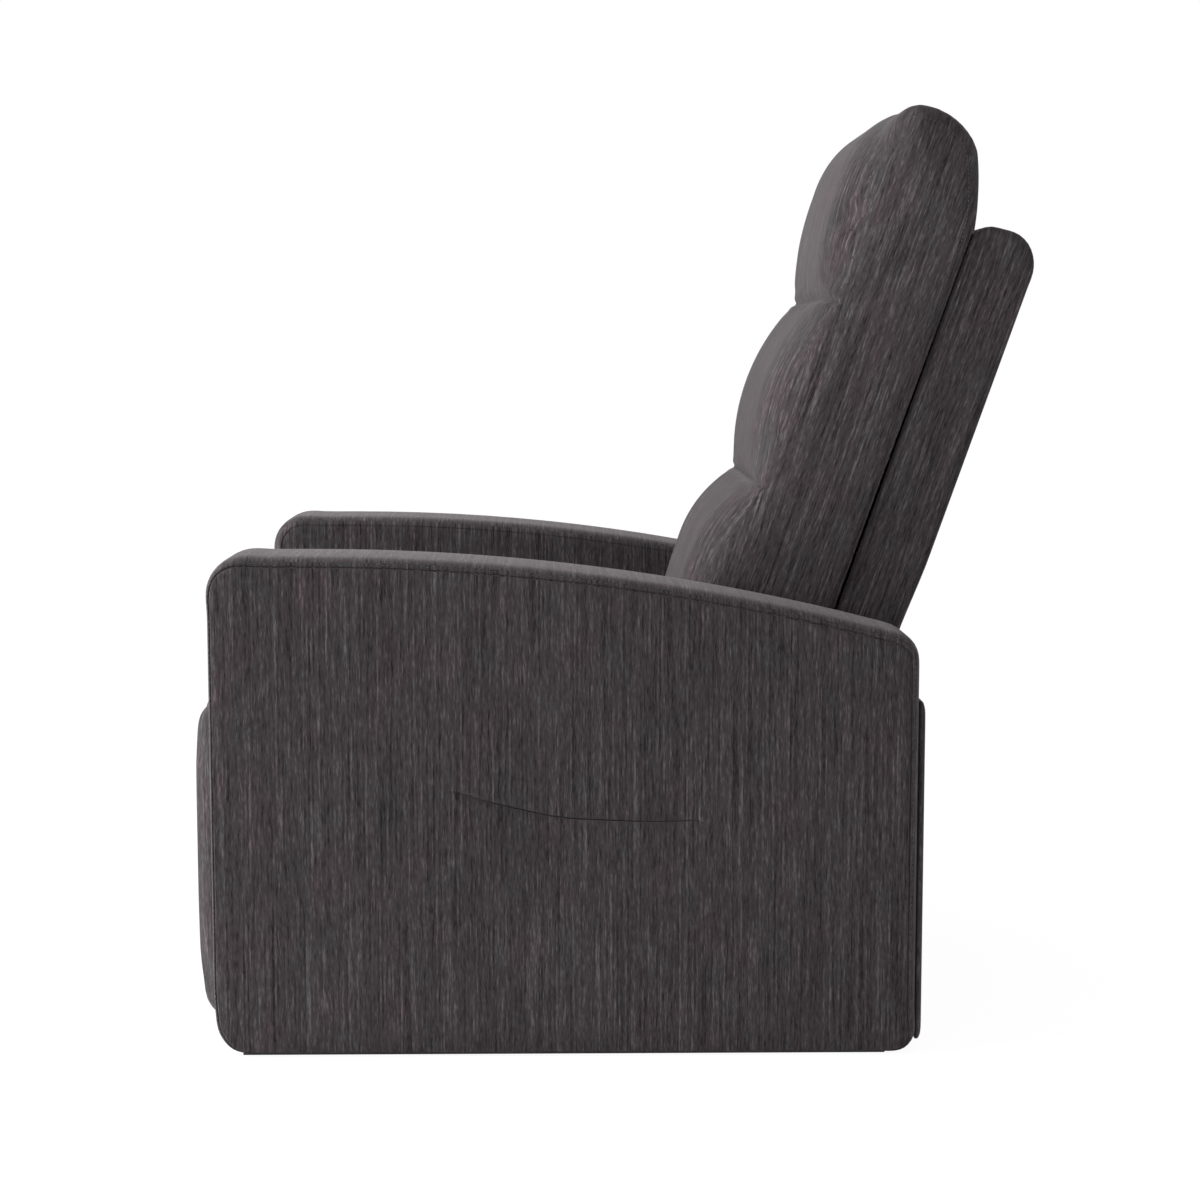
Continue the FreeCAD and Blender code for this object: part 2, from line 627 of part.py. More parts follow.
FRONT_PIVOT = ("front_pivot_y", "front_pivot_z")
TUBE = ("tube_y", "tube_z")
LOW = ("low_y", "low_z")
HIGH = ("high_y", "high_z")
LOW_CONTROL = ("low_y + offset_y", "low_z + offset_z")
HIGH_CONTROL = ("high_y + offset_y", "high_z + offset_z")
BELL_PIN = ("front_pivot_y + arm_step_y", "front_pivot_z + arm_step_z")
CRANK_PIN = ("tube_y + arm_step_y", "tube_z + arm_step_z")
PLATE_BOLTS = (("front_pivot_y + 42", "front_pivot_z - 16"), ("tube_y - 70", "tube_z - 24"),
               ("tube_y + 32", "tube_z - 22"))


def rivet(body, side, place, radius, start, held_in):
    """A shouldered pin from start through the link whose inner face is held_in."""
    held_out = held_in + " + steel"
    pad(body, span(side, held_out + " + link_gap", start), circle(place, "rivet_head"))
    pad(body, span(side, held_in + " - link_gap", held_out + " + link_gap"), circle(place, radius))
    pad(body, span(side, held_in + " - link_gap - head_height", held_in + " - link_gap"),
        circle(place, "rivet_head"))


def make_plate(side):
    plate = new_body(side_name(side) + "_mechanism_plate")
    reach = span(side, "plate_in", "panel_face")
    pad(plate, reach, outline(
        ("front_pivot_y - 16", "front_pivot_z - 16"), ("front_pivot_y + 50", "front_pivot_z - 28"),
        ("tube_y + 40", "tube_z - 34"), ("tube_y + 40", "tube_z + 22"),
        ("tube_y - 40", "tube_z + 22"), ("front_pivot_y + 30", "front_pivot_z + 18"),
        ("front_pivot_y - 16", "front_pivot_z + 16")))
    pocket(plate, reach, circle(TUBE, "tube_radius + bush_wall"))
    pocket(plate, reach, *[circle(place, "bolt_radius") for place in PLATE_BOLTS])


def make_pivots():
    """Shoulder pins, riveted to the plates, that the rear links turn on."""
    pins = new_body("front_pivot_pins")
    for side in (1, -1):
        pad(pins, span(side, "rear_out + link_gap", "plate_in"), circle(FRONT_PIVOT, "rivet_head + 1"))
        pad(pins, span(side, "rear_in - link_gap", "rear_out + link_gap"),
            circle(FRONT_PIVOT, "pivot_radius"))
        pad(pins, span(side, "rear_in - link_gap - head_height", "rear_in - link_gap"),
            circle(FRONT_PIVOT, "rivet_head"))

    bushes = new_body("tube_bushes")
    for side in (1, -1):
        pad(bushes, span(side, "plate_in", "panel_face"), circle(TUBE, "tube_radius + bush_wall"))
        pad(bushes, span(side, "plate_in - bush_wall", "plate_in"), circle(TUBE, "bush_flange"))
        pocket(bushes, span(side, "plate_in - bush_wall", "panel_face"),
               circle(TUBE, "tube_radius + pin_clearance"))

    bolts = new_body("plate_bolts")
    for side in (1, -1):
        pad(bolts, span(side, "plate_in - bolt_head_height", "plate_in"),
            *[circle(place, "bolt_head") for place in PLATE_BOLTS])
        pad(bolts, span(side, "plate_in", "panel_face"),
            *[circle(place, "bolt_radius") for place in PLATE_BOLTS])


def make_drive():
    """Torque tube, its two cranks and the lever on the right."""
    tube = new_body("torque_tube")
    reach = ("-(lever_out - 2)", "panel_face + 2")
    pad(tube, reach, circle(TUBE, "tube_radius"))
    pocket(tube, reach, circle(TUBE, "tube_radius - tube_wall"))
    for side in (1, -1):
        crank = new_body(side_name(side) + "_crank")
        pad(crank, span(side, "rear_in", "rear_out"), slot(TUBE, CRANK_PIN, "link_half + 4"))
        pocket(crank, span(side, "rear_in", "rear_out"), circle(TUBE, "tube_radius"))
        pad(crank, span(side, "rear_out", "drag_in - link_gap"), circle(CRANK_PIN, "rivet_head"))
        pad(crank, span(side, "drag_in - link_gap", "drag_out + link_gap"),
            circle(CRANK_PIN, "rivet_radius"))
        pad(crank, span(side, "drag_out + link_gap", "drag_out + link_gap + head_height"),
            circle(CRANK_PIN, "rivet_head"))

    escutcheon = new_body("lever_escutcheon")
    reach = span(-1, "outer_half_width", "escutcheon_out")
    pad(escutcheon, reach, circle(TUBE, "escutcheon_radius"))
    pocket(escutcheon, reach, circle(TUBE, "tube_radius + 1"))

    tip = ("tube_y - lever_length", "tube_z + lever_rise")
    slope = "lever_rise / lever_length"
    root = ("tube_y - lever_length + grip_length", "tube_z + lever_rise - grip_length * %s" % slope)
    blade = new_body("lever_blade")
    reach = span(-1, "lever_in", "lever_out")
    pad(blade, reach, slot(TUBE, tip, "link_half + 1"))
    pad(blade, reach, circle(TUBE, "hub_radius"))
    pocket(blade, span(-1, "lever_in", "lever_out - 2"), circle(TUBE, "tube_radius"))
    grip = new_body("lever_grip")
    pad(grip, span(-1, "lever_in + 2", "lever_out + grip_stand"), slot(root, tip, "grip_half"))
    pocket(grip, span(-1, "lever_in + 2", "lever_out"),
           slot(TUBE, tip, "link_half + 1"))


def make_linkage(side):
    name = side_name(side)
    drag = new_body(name + "_drag_link")
    pad(drag, span(side, "drag_in", "drag_out"), slot(BELL_PIN, CRANK_PIN, "slim_half"))
    pocket(drag, span(side, "drag_in", "drag_out"), circle(CRANK_PIN, "rivet_radius + pin_clearance"))
    pad(drag, span(side, "rear_in - link_gap", "drag_in"), circle(BELL_PIN, "rivet_radius"))
    pad(drag, span(side, "rear_in - link_gap - head_height", "rear_in - link_gap"),
        circle(BELL_PIN, "rivet_head"))

    rear = new_body(name + "_rear_link")
    reach = span(side, "rear_in", "rear_out")
    pad(rear, reach, slot(FRONT_PIVOT, LOW, "link_half"))
    pad(rear, reach, slot(FRONT_PIVOT, BELL_PIN, "link_half"))
    pocket(rear, reach, circle(FRONT_PIVOT, "pivot_radius + pin_clearance"),
           circle(BELL_PIN, "rivet_radius + open_clearance"))
    rivet(rear, side, LOW, "rivet_radius", "rear_in", "long_in")
    rivet(rear, side, LOW_CONTROL, "rivet_radius", "rear_in", "control_in")

    long_link = new_body(name + "_long_link")
    reach = span(side, "long_in", "long_out")
    pad(long_link, reach, slot(LOW, HIGH, "link_half"))
    pocket(long_link, reach, circle(LOW, "rivet_radius + pin_clearance"))
    rivet(long_link, side, HIGH, "rivet_radius", "long_in", "bracket_in")

    control = new_body(name + "_control_link")
    reach = span(side, "control_in", "control_out")
    pad(control, reach, slot(LOW_CONTROL, HIGH_CONTROL, "slim_half"))
    pocket(control, reach, circle(LOW_CONTROL, "rivet_radius + pin_clearance"))
    rivet(control, side, HIGH_CONTROL, "rivet_radius", "control_in", "bracket_in")

    bracket = new_body(name + "_footrest_bracket")
    reach = span(side, "bracket_in", "bracket_out")
    pad(bracket, reach, outline(
        ("board_back", "flange_bottom"), ("high_y - 6", "high_z - 14"), ("high_y + 12", "high_z - 4"),
        ("high_y + offset_y + 11", "high_z + offset_z + 4"),
        ("high_y + offset_y - 8", "high_z + offset_z + 10"), ("board_back", "flange_top")))
    pocket(bracket, reach, circle(HIGH, "rivet_radius + pin_clearance"),
           circle(HIGH_CONTROL, "rivet_radius + open_clearance"))
    pad(bracket, span(side, "bracket_in - flange_width", "bracket_in"),
        rectangle("board_back", "board_back + steel", "flange_bottom", "flange_top"))


def make_footrest():
    cushion = new_body("footrest_pad")
    pad(cushion, ("-pad_half", "pad_half"), rectangle("pad_front", "pad_back", "pad_bottom", "pad_top"))
    soften(cushion, "pad_upper_round", ("pad_front", "pad_top"))
    soften(cushion, "pad_lower_round", ("pad_front", "pad_bottom"))
    half = "pad_half - board_inset / 2"
    single_box("footrest_board", ("-(%s)" % half, half), ("pad_back", "board_back"),
               ("pad_bottom + board_inset", "cushion_bottom - board_clear"))
    screws = []
    for side in (1, -1):
        for index, z in enumerate(("flange_bottom + 18", "flange_top - 18")):
            head = DOC.addObject("Part::Cone", "%s_screw_%d" % (side_name(side), index))
            head.setExpression("Radius1", bound("rivet_head"))
            head.setExpression("Radius2", bound("rivet_radius"))
            head.setExpression("Height", bound("head_height"))
            head.Placement.Rotation = FreeCAD.Rotation(V(1, 0, 0), -90)
            middle = times(side, "bracket_in - flange_width / 2")
            head.setExpression("Placement.Base.x", bound("centre_shift + " + middle))
            head.setExpression("Placement.Base.y", bound("board_back + steel"))
            head.setExpression("Placement.Base.z", bound(z))
            screws.append(head)
    group("bracket_screws", screws)


# ---- back -------------------------------------------------------------------------------

def back_block(along_low, along_high, ahead_low, ahead_high):
    """A rectangle that leans with the back."""
    return outline(on_back(along_low, ahead_high), on_back(along_low, ahead_low),
                   on_back(along_high, ahead_low), on_back(along_high, ahead_high))


def make_hinges():
    hinge = ("hinge_y", "hinge_z")
    rail = "seat_frame_rear"
    for side in (1, -1):
        ear = new_body(side_name(side) + "_hinge_plate")
        reach = span(side, "hinge_in", "hinge_out")
        pad(ear, reach, outline(
            (rail, "rail_bottom + bracket_margin"), (rail + " + 2 * steel", "rail_bottom + bracket_margin"),
            ("hinge_y + hinge_ear * 0.8", "hinge_z - hinge_ear * 0.6"),
            ("hinge_y - hinge_ear * 0.8", "hinge_z + hinge_ear * 0.6"), (rail, "rail_top - bracket_margin")))
        pad(ear, span(side, "hinge_in - hinge_flange", "hinge_in"),
            rectangle(rail, rail + " + steel", "rail_bottom + bracket_margin", "rail_top - bracket_margin"))
        pad(ear, reach, circle(hinge, "hinge_ear"))
    pins = new_body("back_hinge_pins")
    for side in (1, -1):
        pad(pins, span(side, "hinge_out", "hinge_out + head_height"), circle(hinge, "rivet_head + 1"))
        pad(pins, span(side, "stile_outer - link_gap", "hinge_out"), circle(hinge, "pivot_radius"))
        pad(pins, span(side, "stile_outer - link_gap - head_height", "stile_outer - link_gap"),
            circle(hinge, "rivet_head + 1"))
        ear = [node for node in NODES if node.Label == side_name(side) + "_hinge_plate"][0]
        pocket(ear, span(side, "hinge_in", "hinge_out"), circle(hinge, "pivot_radius"))


def make_back():
    hinge = ("hinge_y", "hinge_z")
    for side in (1, -1):
        bracket = new_body(side_name(side) + "_back_bracket")
        reach = span(side, "stile_outer", "cavity_half")
        foot = on_back("shell_bottom + shell_wall + 60", "hinge_n")
        pad(bracket, reach, slot(hinge, foot, "hinge_ear - 2"))
        pocket(bracket, reach, circle(hinge, "pivot_radius + pin_clearance"))

    frame = new_body("back_frame")
    rear = "-(shell_thickness - shell_wall)"
    low, high = "shell_bottom + shell_wall", "shell_top - shell_wall"
    for side in (1, -1):
        pad(frame, span(side, "stile_inner", "stile_outer"),
            back_block(low, high, rear, "-shell_wall"))
    for bottom in (high + " - back_rail_width", "lumbar_rail_s", low):
        pad(frame, ("-stile_inner", "stile_inner"),
            back_block(bottom, bottom + " + back_rail_width", "-shell_wall - back_rail_depth", "-shell_wall"))

    webs = new_body("back_webbing")
    firsts = ["web_first_s + %d * web_pitch" % index for index in range(5)]
    pad(webs, ("-stile_outer", "stile_outer"),
        *[back_block(first, first + " + web_width", "-shell_wall", "-shell_wall + web_thickness")
          for first in firsts])

    shell = new_body("back_shell")
    pad(shell, ("-shell_half", "shell_half"),
        back_block("shell_bottom", "shell_top", "-shell_thickness", "0"))
    soften(shell, "shell_rear_round", on_back("shell_top", "-shell_thickness"))
    soften(shell, "shell_front_round", on_back("shell_top", "0"))
    pocket(shell, ("-cavity_half", "cavity_half"),
           back_block("shell_bottom - 1", high, rear, "1"))

    pillow = new_body("back_pillow")
    foot = "(pillow_bottom - back_ref_z - %s * sin(lean)) / cos(lean)"
    profile = [on_back(foot % "seat_depth_n", "seat_depth_n"), on_back(foot % "pillow_gap", "pillow_gap"),
               on_back("nape_s", "pillow_gap") + ("nape_arc",),
               on_back("crown_s", "crown_n") + ("crown_arc",),
               on_back("brow_s", "brow_n") + ("brow_arc",),
               on_back("head_s", "head_n") + ("head_swell_arc",),
               on_back("upper_channel_s", "upper_channel_n") + ("middle_swell_arc",),
               on_back("lower_channel_s", "lower_channel_n") + ("lower_swell_arc",),
               on_back("lower_swell_s", "seat_depth_n")]
    pad(pillow, ("-pillow_half", "pillow_half"), outline(*profile))
    soften(pillow, "pillow_edge", profile[0])


def check_and_write():
    DOC.recompute()
    for item in DOC.Objects:
        if "Invalid" in item.State or "Error" in item.State:
            raise ValueError("%s did not compute" % item.Label)
    os.makedirs("parts", exist_ok=True)
    for node in NODES:
        if node.Shape.isNull() or not node.Shape.isValid():
            raise ValueError("%s has no valid shape" % node.Label)
        node.Shape.exportStep("parts/%s.step" % node.Label)
        print(node.Label, len(node.Shape.Solids), round(node.Shape.Volume / 1000, 1), "cm3")


fill_sheet()
for one_side in (1, -1):
    make_arm(one_side)
make_pocket()
make_cross_rails()
make_seat()
make_springs()
for one_side in (1, -1):
    make_plate(one_side)
make_pivots()
make_drive()
for one_side in (1, -1):
    make_linkage(one_side)
make_footrest()
make_hinges()
make_back()
check_and_write()
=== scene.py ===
import math

import bmesh
import bpy
import numpy as np
from mathutils import Matrix, Vector
from mathutils.bvhtree import BVHTree


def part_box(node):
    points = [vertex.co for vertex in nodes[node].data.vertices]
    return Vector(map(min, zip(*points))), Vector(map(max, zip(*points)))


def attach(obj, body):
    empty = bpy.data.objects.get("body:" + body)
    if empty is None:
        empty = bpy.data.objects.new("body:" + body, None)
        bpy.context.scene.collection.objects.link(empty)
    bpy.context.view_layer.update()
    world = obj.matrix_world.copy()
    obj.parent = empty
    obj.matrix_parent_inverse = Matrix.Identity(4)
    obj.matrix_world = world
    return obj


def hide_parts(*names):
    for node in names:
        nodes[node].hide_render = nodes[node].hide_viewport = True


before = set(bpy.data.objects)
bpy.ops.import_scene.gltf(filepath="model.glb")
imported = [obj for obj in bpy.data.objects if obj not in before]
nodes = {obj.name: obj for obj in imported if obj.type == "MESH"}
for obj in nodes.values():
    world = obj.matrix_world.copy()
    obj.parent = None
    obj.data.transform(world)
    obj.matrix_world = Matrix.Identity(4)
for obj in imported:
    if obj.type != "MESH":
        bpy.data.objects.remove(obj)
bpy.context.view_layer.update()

MM = 0.001

# ---- Arm frames and cross rails ----
# Planed softwood rims and rails, glued and stapled into two boxes that three rails join.
# They are bare timber inside the chair, seen only from below or with the footrest out.


def linear(colour):
    """A #rrggbb colour as linear RGBA."""
    values = [int(colour[i:i + 2], 16) / 255 for i in (1, 3, 5)]
    return [v / 12.92 if v <= 0.04045 else ((v + 0.055) / 1.055) ** 2.4 for v in values] + [1.0]


def add_node(tree, kind, inputs=None, **settings):
    """A node with its settings, and its inputs given as values or as links."""
    node = tree.nodes.new(kind)
    for name, value in settings.items():
        setattr(node, name, value)
    for name, value in (inputs or {}).items():
        if isinstance(value, bpy.types.NodeSocket):
            tree.links.new(value, node.inputs[name])
        else:
            node.inputs[name].default_value = value
    return node


def new_material(name, **shading):
    """An empty material with its shader's constant sockets set."""
    material = bpy.data.materials.new(name)
    material.use_nodes = True
    tree = material.node_tree
    shader = tree.nodes["Principled BSDF"]
    for socket, value in shading.items():
        shader.inputs[socket.replace("_", " ")].default_value = value
    return material, tree, shader


def wire(tree, shader, **sockets):
    """Feeds the shader's sockets from outputs."""
    for socket, output in sockets.items():
        tree.links.new(output, shader.inputs[socket.replace("_", " ")])


def object_place(tree):
    """Where a point lies on its own piece."""
    return add_node(tree, "ShaderNodeTexCoord").outputs["Object"]


def noise(tree, place, scale, **inputs):
    """Smooth noise from 0 to 1."""
    return add_node(tree, "ShaderNodeTexNoise", {"Vector": place, "Scale": scale, **inputs}).outputs["Fac"]


def stretched(tree, place, scale):
    """A place scaled by a different amount along each axis."""
    return add_node(tree, "ShaderNodeMapping", {"Vector": place, "Scale": scale}).outputs["Vector"]


def relief(tree, height, strength, depth):
    """A shading normal for a surface with this height."""
    return add_node(tree, "ShaderNodeBump",
                    {"Height": height, "Strength": strength, "Distance": depth}).outputs["Normal"]


def mixed(tree, factor, a, b, **settings):
    """Two values mixed."""
    return add_node(tree, "ShaderNodeMix", {"Factor": factor, "A": a, "B": b}, **settings).outputs["Result"]


def multiplied(tree, a, b, factor):
    """One colour multiplied by another, in part."""
    return mixed(tree, factor, a, b, data_type="RGBA", blend_type="MULTIPLY")


def two_tone(tree, factor, dark, light, low, high):
    """A ramp from dark to light as the factor goes from low to high."""
    ramp = add_node(tree, "ShaderNodeValToRGB", {"Fac": factor})
    ramp.color_ramp.elements[0].position = low
    ramp.color_ramp.elements[0].color = linear(dark)
    ramp.color_ramp.elements[1].position = high
    ramp.color_ramp.elements[1].color = linear(light)
    return ramp.outputs["Color"]


def sawn_timber(name, along, dark, light, ring=4.5 * MM):
    """Softwood or veneer: growth rings drawn out along the grain, and short dark pores."""
    material, tree, shader = new_material(name, Roughness=0.62)
    place = object_place(tree)
    grain = [1 / ring] * 3
    grain[along] = 1 / (22 * ring)
    rings = noise(tree, stretched(tree, place, grain), 1.0, Detail=3.0, Distortion=0.6)
    pore = [1 / (0.5 * MM)] * 3
    pore[along] = 1 / (9 * MM)
    pores = noise(tree, stretched(tree, place, pore), 1.0)
    wood = two_tone(tree, rings, dark, light, 0.38, 0.62)
    speck = two_tone(tree, pores, "#a8a8a8", "#ffffff", 0.34, 0.46)
    wire(tree, shader, Base_Color=multiplied(tree, wood, speck, 0.6),
         Normal=relief(tree, pores, 0.5, 0.15 * MM))
    return material


def dress(material, *names):
    """Gives CAD nodes their finish."""
    for name in names:
        nodes[name].data.materials.clear()
        nodes[name].data.materials.append(material)


pine_upright = sawn_timber("planed_pine_upright", 2, "#b98d58", "#dcbd8c")
pine_across = sawn_timber("planed_pine_across", 0, "#b98d58", "#dcbd8c")
dress(pine_upright, "left_arm_frame", "right_arm_frame")
dress(pine_across, "front_base_rail", "rear_base_rail")


def dark_dust_cloth_as_shade(name):
    """Spun-bonded polypropylene: matted fibres, dimpled by a grid of fine weld points. Its near-black
    colour is painted shade.
    """
    material, tree, shader = new_material(name, Roughness=0.85, Specular_IOR_Level=0.3)
    place = object_place(tree)
    fibres = noise(tree, place, 1 / (1.4 * MM), Detail=5.0, Distortion=1.5)
    welds = add_node(tree, "ShaderNodeTexVoronoi",
                     {"Vector": place, "Scale": 1 / (1.6 * MM), "Randomness": 0.15}).outputs["Distance"]
    # near-black fibres: painted shade for the gap behind the back
    wire(tree, shader, Base_Color=two_tone(tree, fibres, "#161618", "#2b2b2e", 0.35, 0.65),
         Normal=relief(tree, welds, 0.4, 0.15 * MM))
    return material


# The upper rear rail shows in the gap behind the back. It is wrapped in dust cloth, and the cloth's
# near-black colour is also painted shade for that gap.
dress(dark_dust_cloth_as_shade("dust_cloth_painted_gap_shade"), "rear_top_rail")

# ---- Side boards and footrest board ----
# Thin birch-faced plywood, stapled to the rims. It keeps the outer cloth flat, and a
# thicker sheet of it carries the footrest's foam and the screws of its brackets.

birch_ply = sawn_timber("birch_faced_plywood", 2, "#b99b6e", "#d8c39c", ring=9 * MM)
dress(birch_ply, "left_side_board", "right_side_board", "footrest_board")

# ---- Glide strips ----
# Injection-moulded black polypropylene strips, nailed under both arms. They carry the
# chair on the floor and show as a thin dark line below the cloth.


def mapped(tree, value, low, high, to_low, to_high):
    """A value from one range brought to another, and held inside it."""
    return add_node(tree, "ShaderNodeMapRange",
                    {"Value": value, "From Min": low, "From Max": high,
                     "To Min": to_low, "To Max": to_high}).outputs["Result"]


def moulded_plastic(name, colour, roughness, grain=0.9 * MM, depth=0.06 * MM):
    """A spark-eroded mould's fine leather-like grain, a little shinier where it is rubbed."""
    material, tree, shader = new_material(name, IOR=1.49)
    shader.inputs["Base Color"].default_value = linear(colour)
    place = object_place(tree)
    pits = add_node(tree, "ShaderNodeTexVoronoi",
                    {"Vector": place, "Scale": 1 / grain, "Randomness": 1.0}, feature="SMOOTH_F1")
    rub = noise(tree, place, 1 / (45 * MM), Detail=4.0)
    wire(tree, shader, Roughness=mapped(tree, rub, 0.35, 0.7, roughness + 0.08, roughness - 0.08),
         Normal=relief(tree, pits.outputs["Distance"], 0.6, depth))
    return material


black_polypropylene = moulded_plastic("moulded_black_polypropylene", "#1c1c1e", 0.55)
dress(black_polypropylene, "left_glide_strip", "right_glide_strip")

# ---- Seat frame ----
# A ladder of planed pine that spans the arms, held to them by four zinc-plated angles.
# The zinc is passivated, which leaves it faintly blue and yellow in clouds.


def plated_steel(name, warm, cool, roughness):
    """Bright plating with cloudy passivation and fine random handling scratches."""
    material, tree, shader = new_material(name, Metallic=1.0)
    place = object_place(tree)
    clouds = noise(tree, place, 1 / (14 * MM), Detail=3.0)
    marks = noise(tree, place, 1 / (0.8 * MM), Detail=5.0, Distortion=2.0)
    wire(tree, shader, Base_Color=two_tone(tree, clouds, warm, cool, 0.4, 0.6),
         Roughness=mapped(tree, marks, 0.3, 0.7, roughness - 0.07, roughness + 0.1))
    return material


zinc = plated_steel("zinc_plated_steel", "#b5ae98", "#b4babd", 0.36)
dress(pine_across, "seat_frame")
dress(zinc, "seat_frame_brackets")

# ---- Seat springs ----
# Sinuous springs of oil-tempered wire, hooked into plated clips on the frame's front and
# rear rails. Tempering leaves the wire dark grey with a dull shine.

tempered_wire = plated_steel("oil_tempered_wire", "#4a4844", "#5a5b5d", 0.42)
dress(tempered_wire, "seat_springs")
dress(zinc, "spring_clips")

# ---- Mechanism ----
# Pressed steel plates and links, powder coated satin black after punching, riveted
# together. The coat has a slight orange peel and is polished where links rub.


def powder_coat(name, colour, roughness):
    """Baked powder: a soft 2 mm ripple, with rubbed places a little smoother."""
    material, tree, shader = new_material(name, Specular_IOR_Level=0.5)
    shader.inputs["Base Color"].default_value = linear(colour)
    place = object_place(tree)
    peel = noise(tree, place, 1 / (2 * MM), Detail=2.0)
    rubbed = noise(tree, place, 1 / (18 * MM), Detail=5.0)
    wire(tree, shader, Roughness=mapped(tree, rubbed, 0.35, 0.65, roughness - 0.1, roughness + 0.08),
         Normal=relief(tree, peel, 0.35, 0.12 * MM))
    return material


black_coat = powder_coat("black_powder_coated_steel", "#202124", 0.42)
white_nylon = moulded_plastic("moulded_nylon", "#d8d4c8", 0.45, grain=1.6 * MM, depth=0.03 * MM)
for side in ("left", "right"):
    dress(black_coat, *[side + "_" + name for name in (
        "mechanism_plate", "crank", "drag_link", "rear_link", "long_link", "control_link",
        "footrest_bracket", "hinge_plate", "back_bracket")])
dress(black_coat, "torque_tube", "lever_blade")
dress(zinc, "front_pivot_pins", "plate_bolts", "bracket_screws", "back_hinge_pins")
dress(white_nylon, "tube_bushes")

# ---- Back frame ----
# Two pine stiles and three rails, glued and stapled. Bands of elastic webbing are
# stretched across them and carry the pillow.

dress(pine_across, "back_frame")

# ---- Arm upholstery ----
# One wrap of slub chenille over 12 mm foam on each arm. The outer panel turns over the
# edge and is sewn to the top strip with a folded seam, top-stitched beside its fold.

# The chair's centre plane is off X = 0, because the lever stands out on one side only.
# Both measures are to the nearest micrometre.
shell_low, shell_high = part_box("back_shell")
MIDDLE = round((shell_low.x + shell_high.x) / 2, 6)
HALF_WIDTH = round(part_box("left_arm_cover")[1].x - MIDDLE, 6)


def maths(tree, operation, *values):
    """The result of one sum on outputs or numbers."""
    return add_node(tree, "ShaderNodeMath", dict(enumerate(values)), operation=operation).outputs["Value"]


def thread_columns(tree, weave, width, length, shift):
    """A noise that keeps one value across each thread and drifts along it."""
    lanes = add_node(tree, "ShaderNodeMapping",
                     {"Vector": weave, "Scale": (1 / width, 1 / length, 1), "Location": (shift, shift, 0)})
    split = add_node(tree, "ShaderNodeSeparateXYZ", {"Vector": lanes.outputs["Vector"]}).outputs
    own = maths(tree, "MULTIPLY", maths(tree, "FLOOR", split["X"]), 7.31)
    at = add_node(tree, "ShaderNodeCombineXYZ", {"X": own, "Y": split["Y"]}).outputs["Vector"]
    return noise(tree, at, 1.0, Detail=1.0)


def slub_chenille(name):
    """Charcoal chenille: straight soft threads 1.5 mm wide, each going lighter and darker
    every 10-30 mm, finer ones between them, and pile that lies warm or cool in patches."""
    material, tree, shader = new_material(
        name, Roughness=0.92, Specular_IOR_Level=0.18, Sheen_Weight=0.2, Sheen_Roughness=0.45)
    shader.inputs["Sheen Tint"].default_value = linear("#d9d2d4")
    weave = add_node(tree, "ShaderNodeUVMap", uv_map="weave").outputs["UV"]
    threads = thread_columns(tree, weave, 1.5 * MM, 26 * MM, 0.0)
    fine = thread_columns(tree, weave, 1.1 * MM, 9 * MM, 31.0)
    steady = thread_columns(tree, weave, 2.3 * MM, 200 * MM, 57.0)
    cloth = mixed(tree, 0.36, mixed(tree, 0.48, threads, fine), steady)
    ground = add_node(tree, "ShaderNodeValToRGB", {"Fac": cloth})
    stops = ((0.36, "#1c191b"), (0.45, "#363133"), (0.55, "#454042"), (0.68, "#686264"))
    ramp = ground.color_ramp
    while len(ramp.elements) < len(stops):
        ramp.elements.new(0.5)
    for element, (position, colour) in zip(ramp.elements, stops):
        element.position = position
        element.color = linear(colour)
    patches = noise(tree, stretched(tree, weave, (1 / (45 * MM), 1 / (80 * MM), 1)), 1.0, Detail=3.0)
    nap = two_tone(tree, patches, "#f5fcf9", "#fff7f9", 0.38, 0.62)
    wire(tree, shader, Base_Color=multiplied(tree, ground.outputs["Color"], nap, 1.0),
         Normal=relief(tree, cloth, 0.6, 0.4 * MM))
    return material


def mesh_of(name):
    """A merged copy of a CAD node's mesh."""
    bm = bmesh.new()
    bm.from_mesh(nodes[name].data)
    bmesh.ops.remove_doubles(bm, verts=bm.verts, dist=0.02 * MM)
    return bm


def outline_of(name, x):
    """The longest closed outline of a CAD node in the plane at x, as ordered (y, z) points."""
    bm = mesh_of(name)
    flat = [f for f in bm.faces if all(abs(v.co.x - x) < 0.05 * MM for v in f.verts)]
    links = {}
    for face in flat:
        for edge in face.edges:
            if sum(other in flat for other in edge.link_faces) == 1:
                a, b = edge.verts
                links.setdefault(a.index, []).append(b)
                links.setdefault(b.index, []).append(a)
    bm.verts.ensure_lookup_table()
    loops, seen = [], set()
    for start in links:
        if start in seen:
            continue
        loop, here = [], bm.verts[start]
        while here.index not in seen:
            seen.add(here.index)
            loop.append((here.co.y, here.co.z))
            onward = [v for v in links[here.index] if v.index not in seen]
            if onward:
                here = onward[0]
        loops.append(np.array(loop))
    bm.free()
    loop = max(loops, key=lambda pts: np.abs(pts - np.roll(pts, 1, 0)).sum())
    after = np.roll(loop, -1, 0)
    turned = (loop[:, 0] * after[:, 1] - after[:, 0] * loop[:, 1]).sum()
    return loop if turned > 0 else loop[::-1]


def even(loop, step):
    """The closed loop resampled at even steps."""
    closed = np.vstack([loop, loop[:1]])
    run = np.concatenate([[0], np.cumsum(np.linalg.norm(np.diff(closed, axis=0), axis=1))])
    at = np.linspace(0, run[-1], int(run[-1] / step), endpoint=False)
    return np.column_stack([np.interp(at, run, closed[:, k]) for k in (0, 1)])


def outward(loop, reach=3):
    """Unit normals that point out of an anticlockwise loop."""
    ahead = sum(np.roll(loop, -k, 0) - np.roll(loop, k, 0) for k in range(1, reach + 1))
    normal = np.column_stack([ahead[:, 1], -ahead[:, 0]])
    return normal / np.linalg.norm(normal, axis=1)[:, None]


def placed(name, data):
    """A new object in the scene for a mesh, a lamp or a camera."""
    obj = bpy.data.objects.new(name, data)
    bpy.context.scene.collection.objects.link(obj)
    return obj


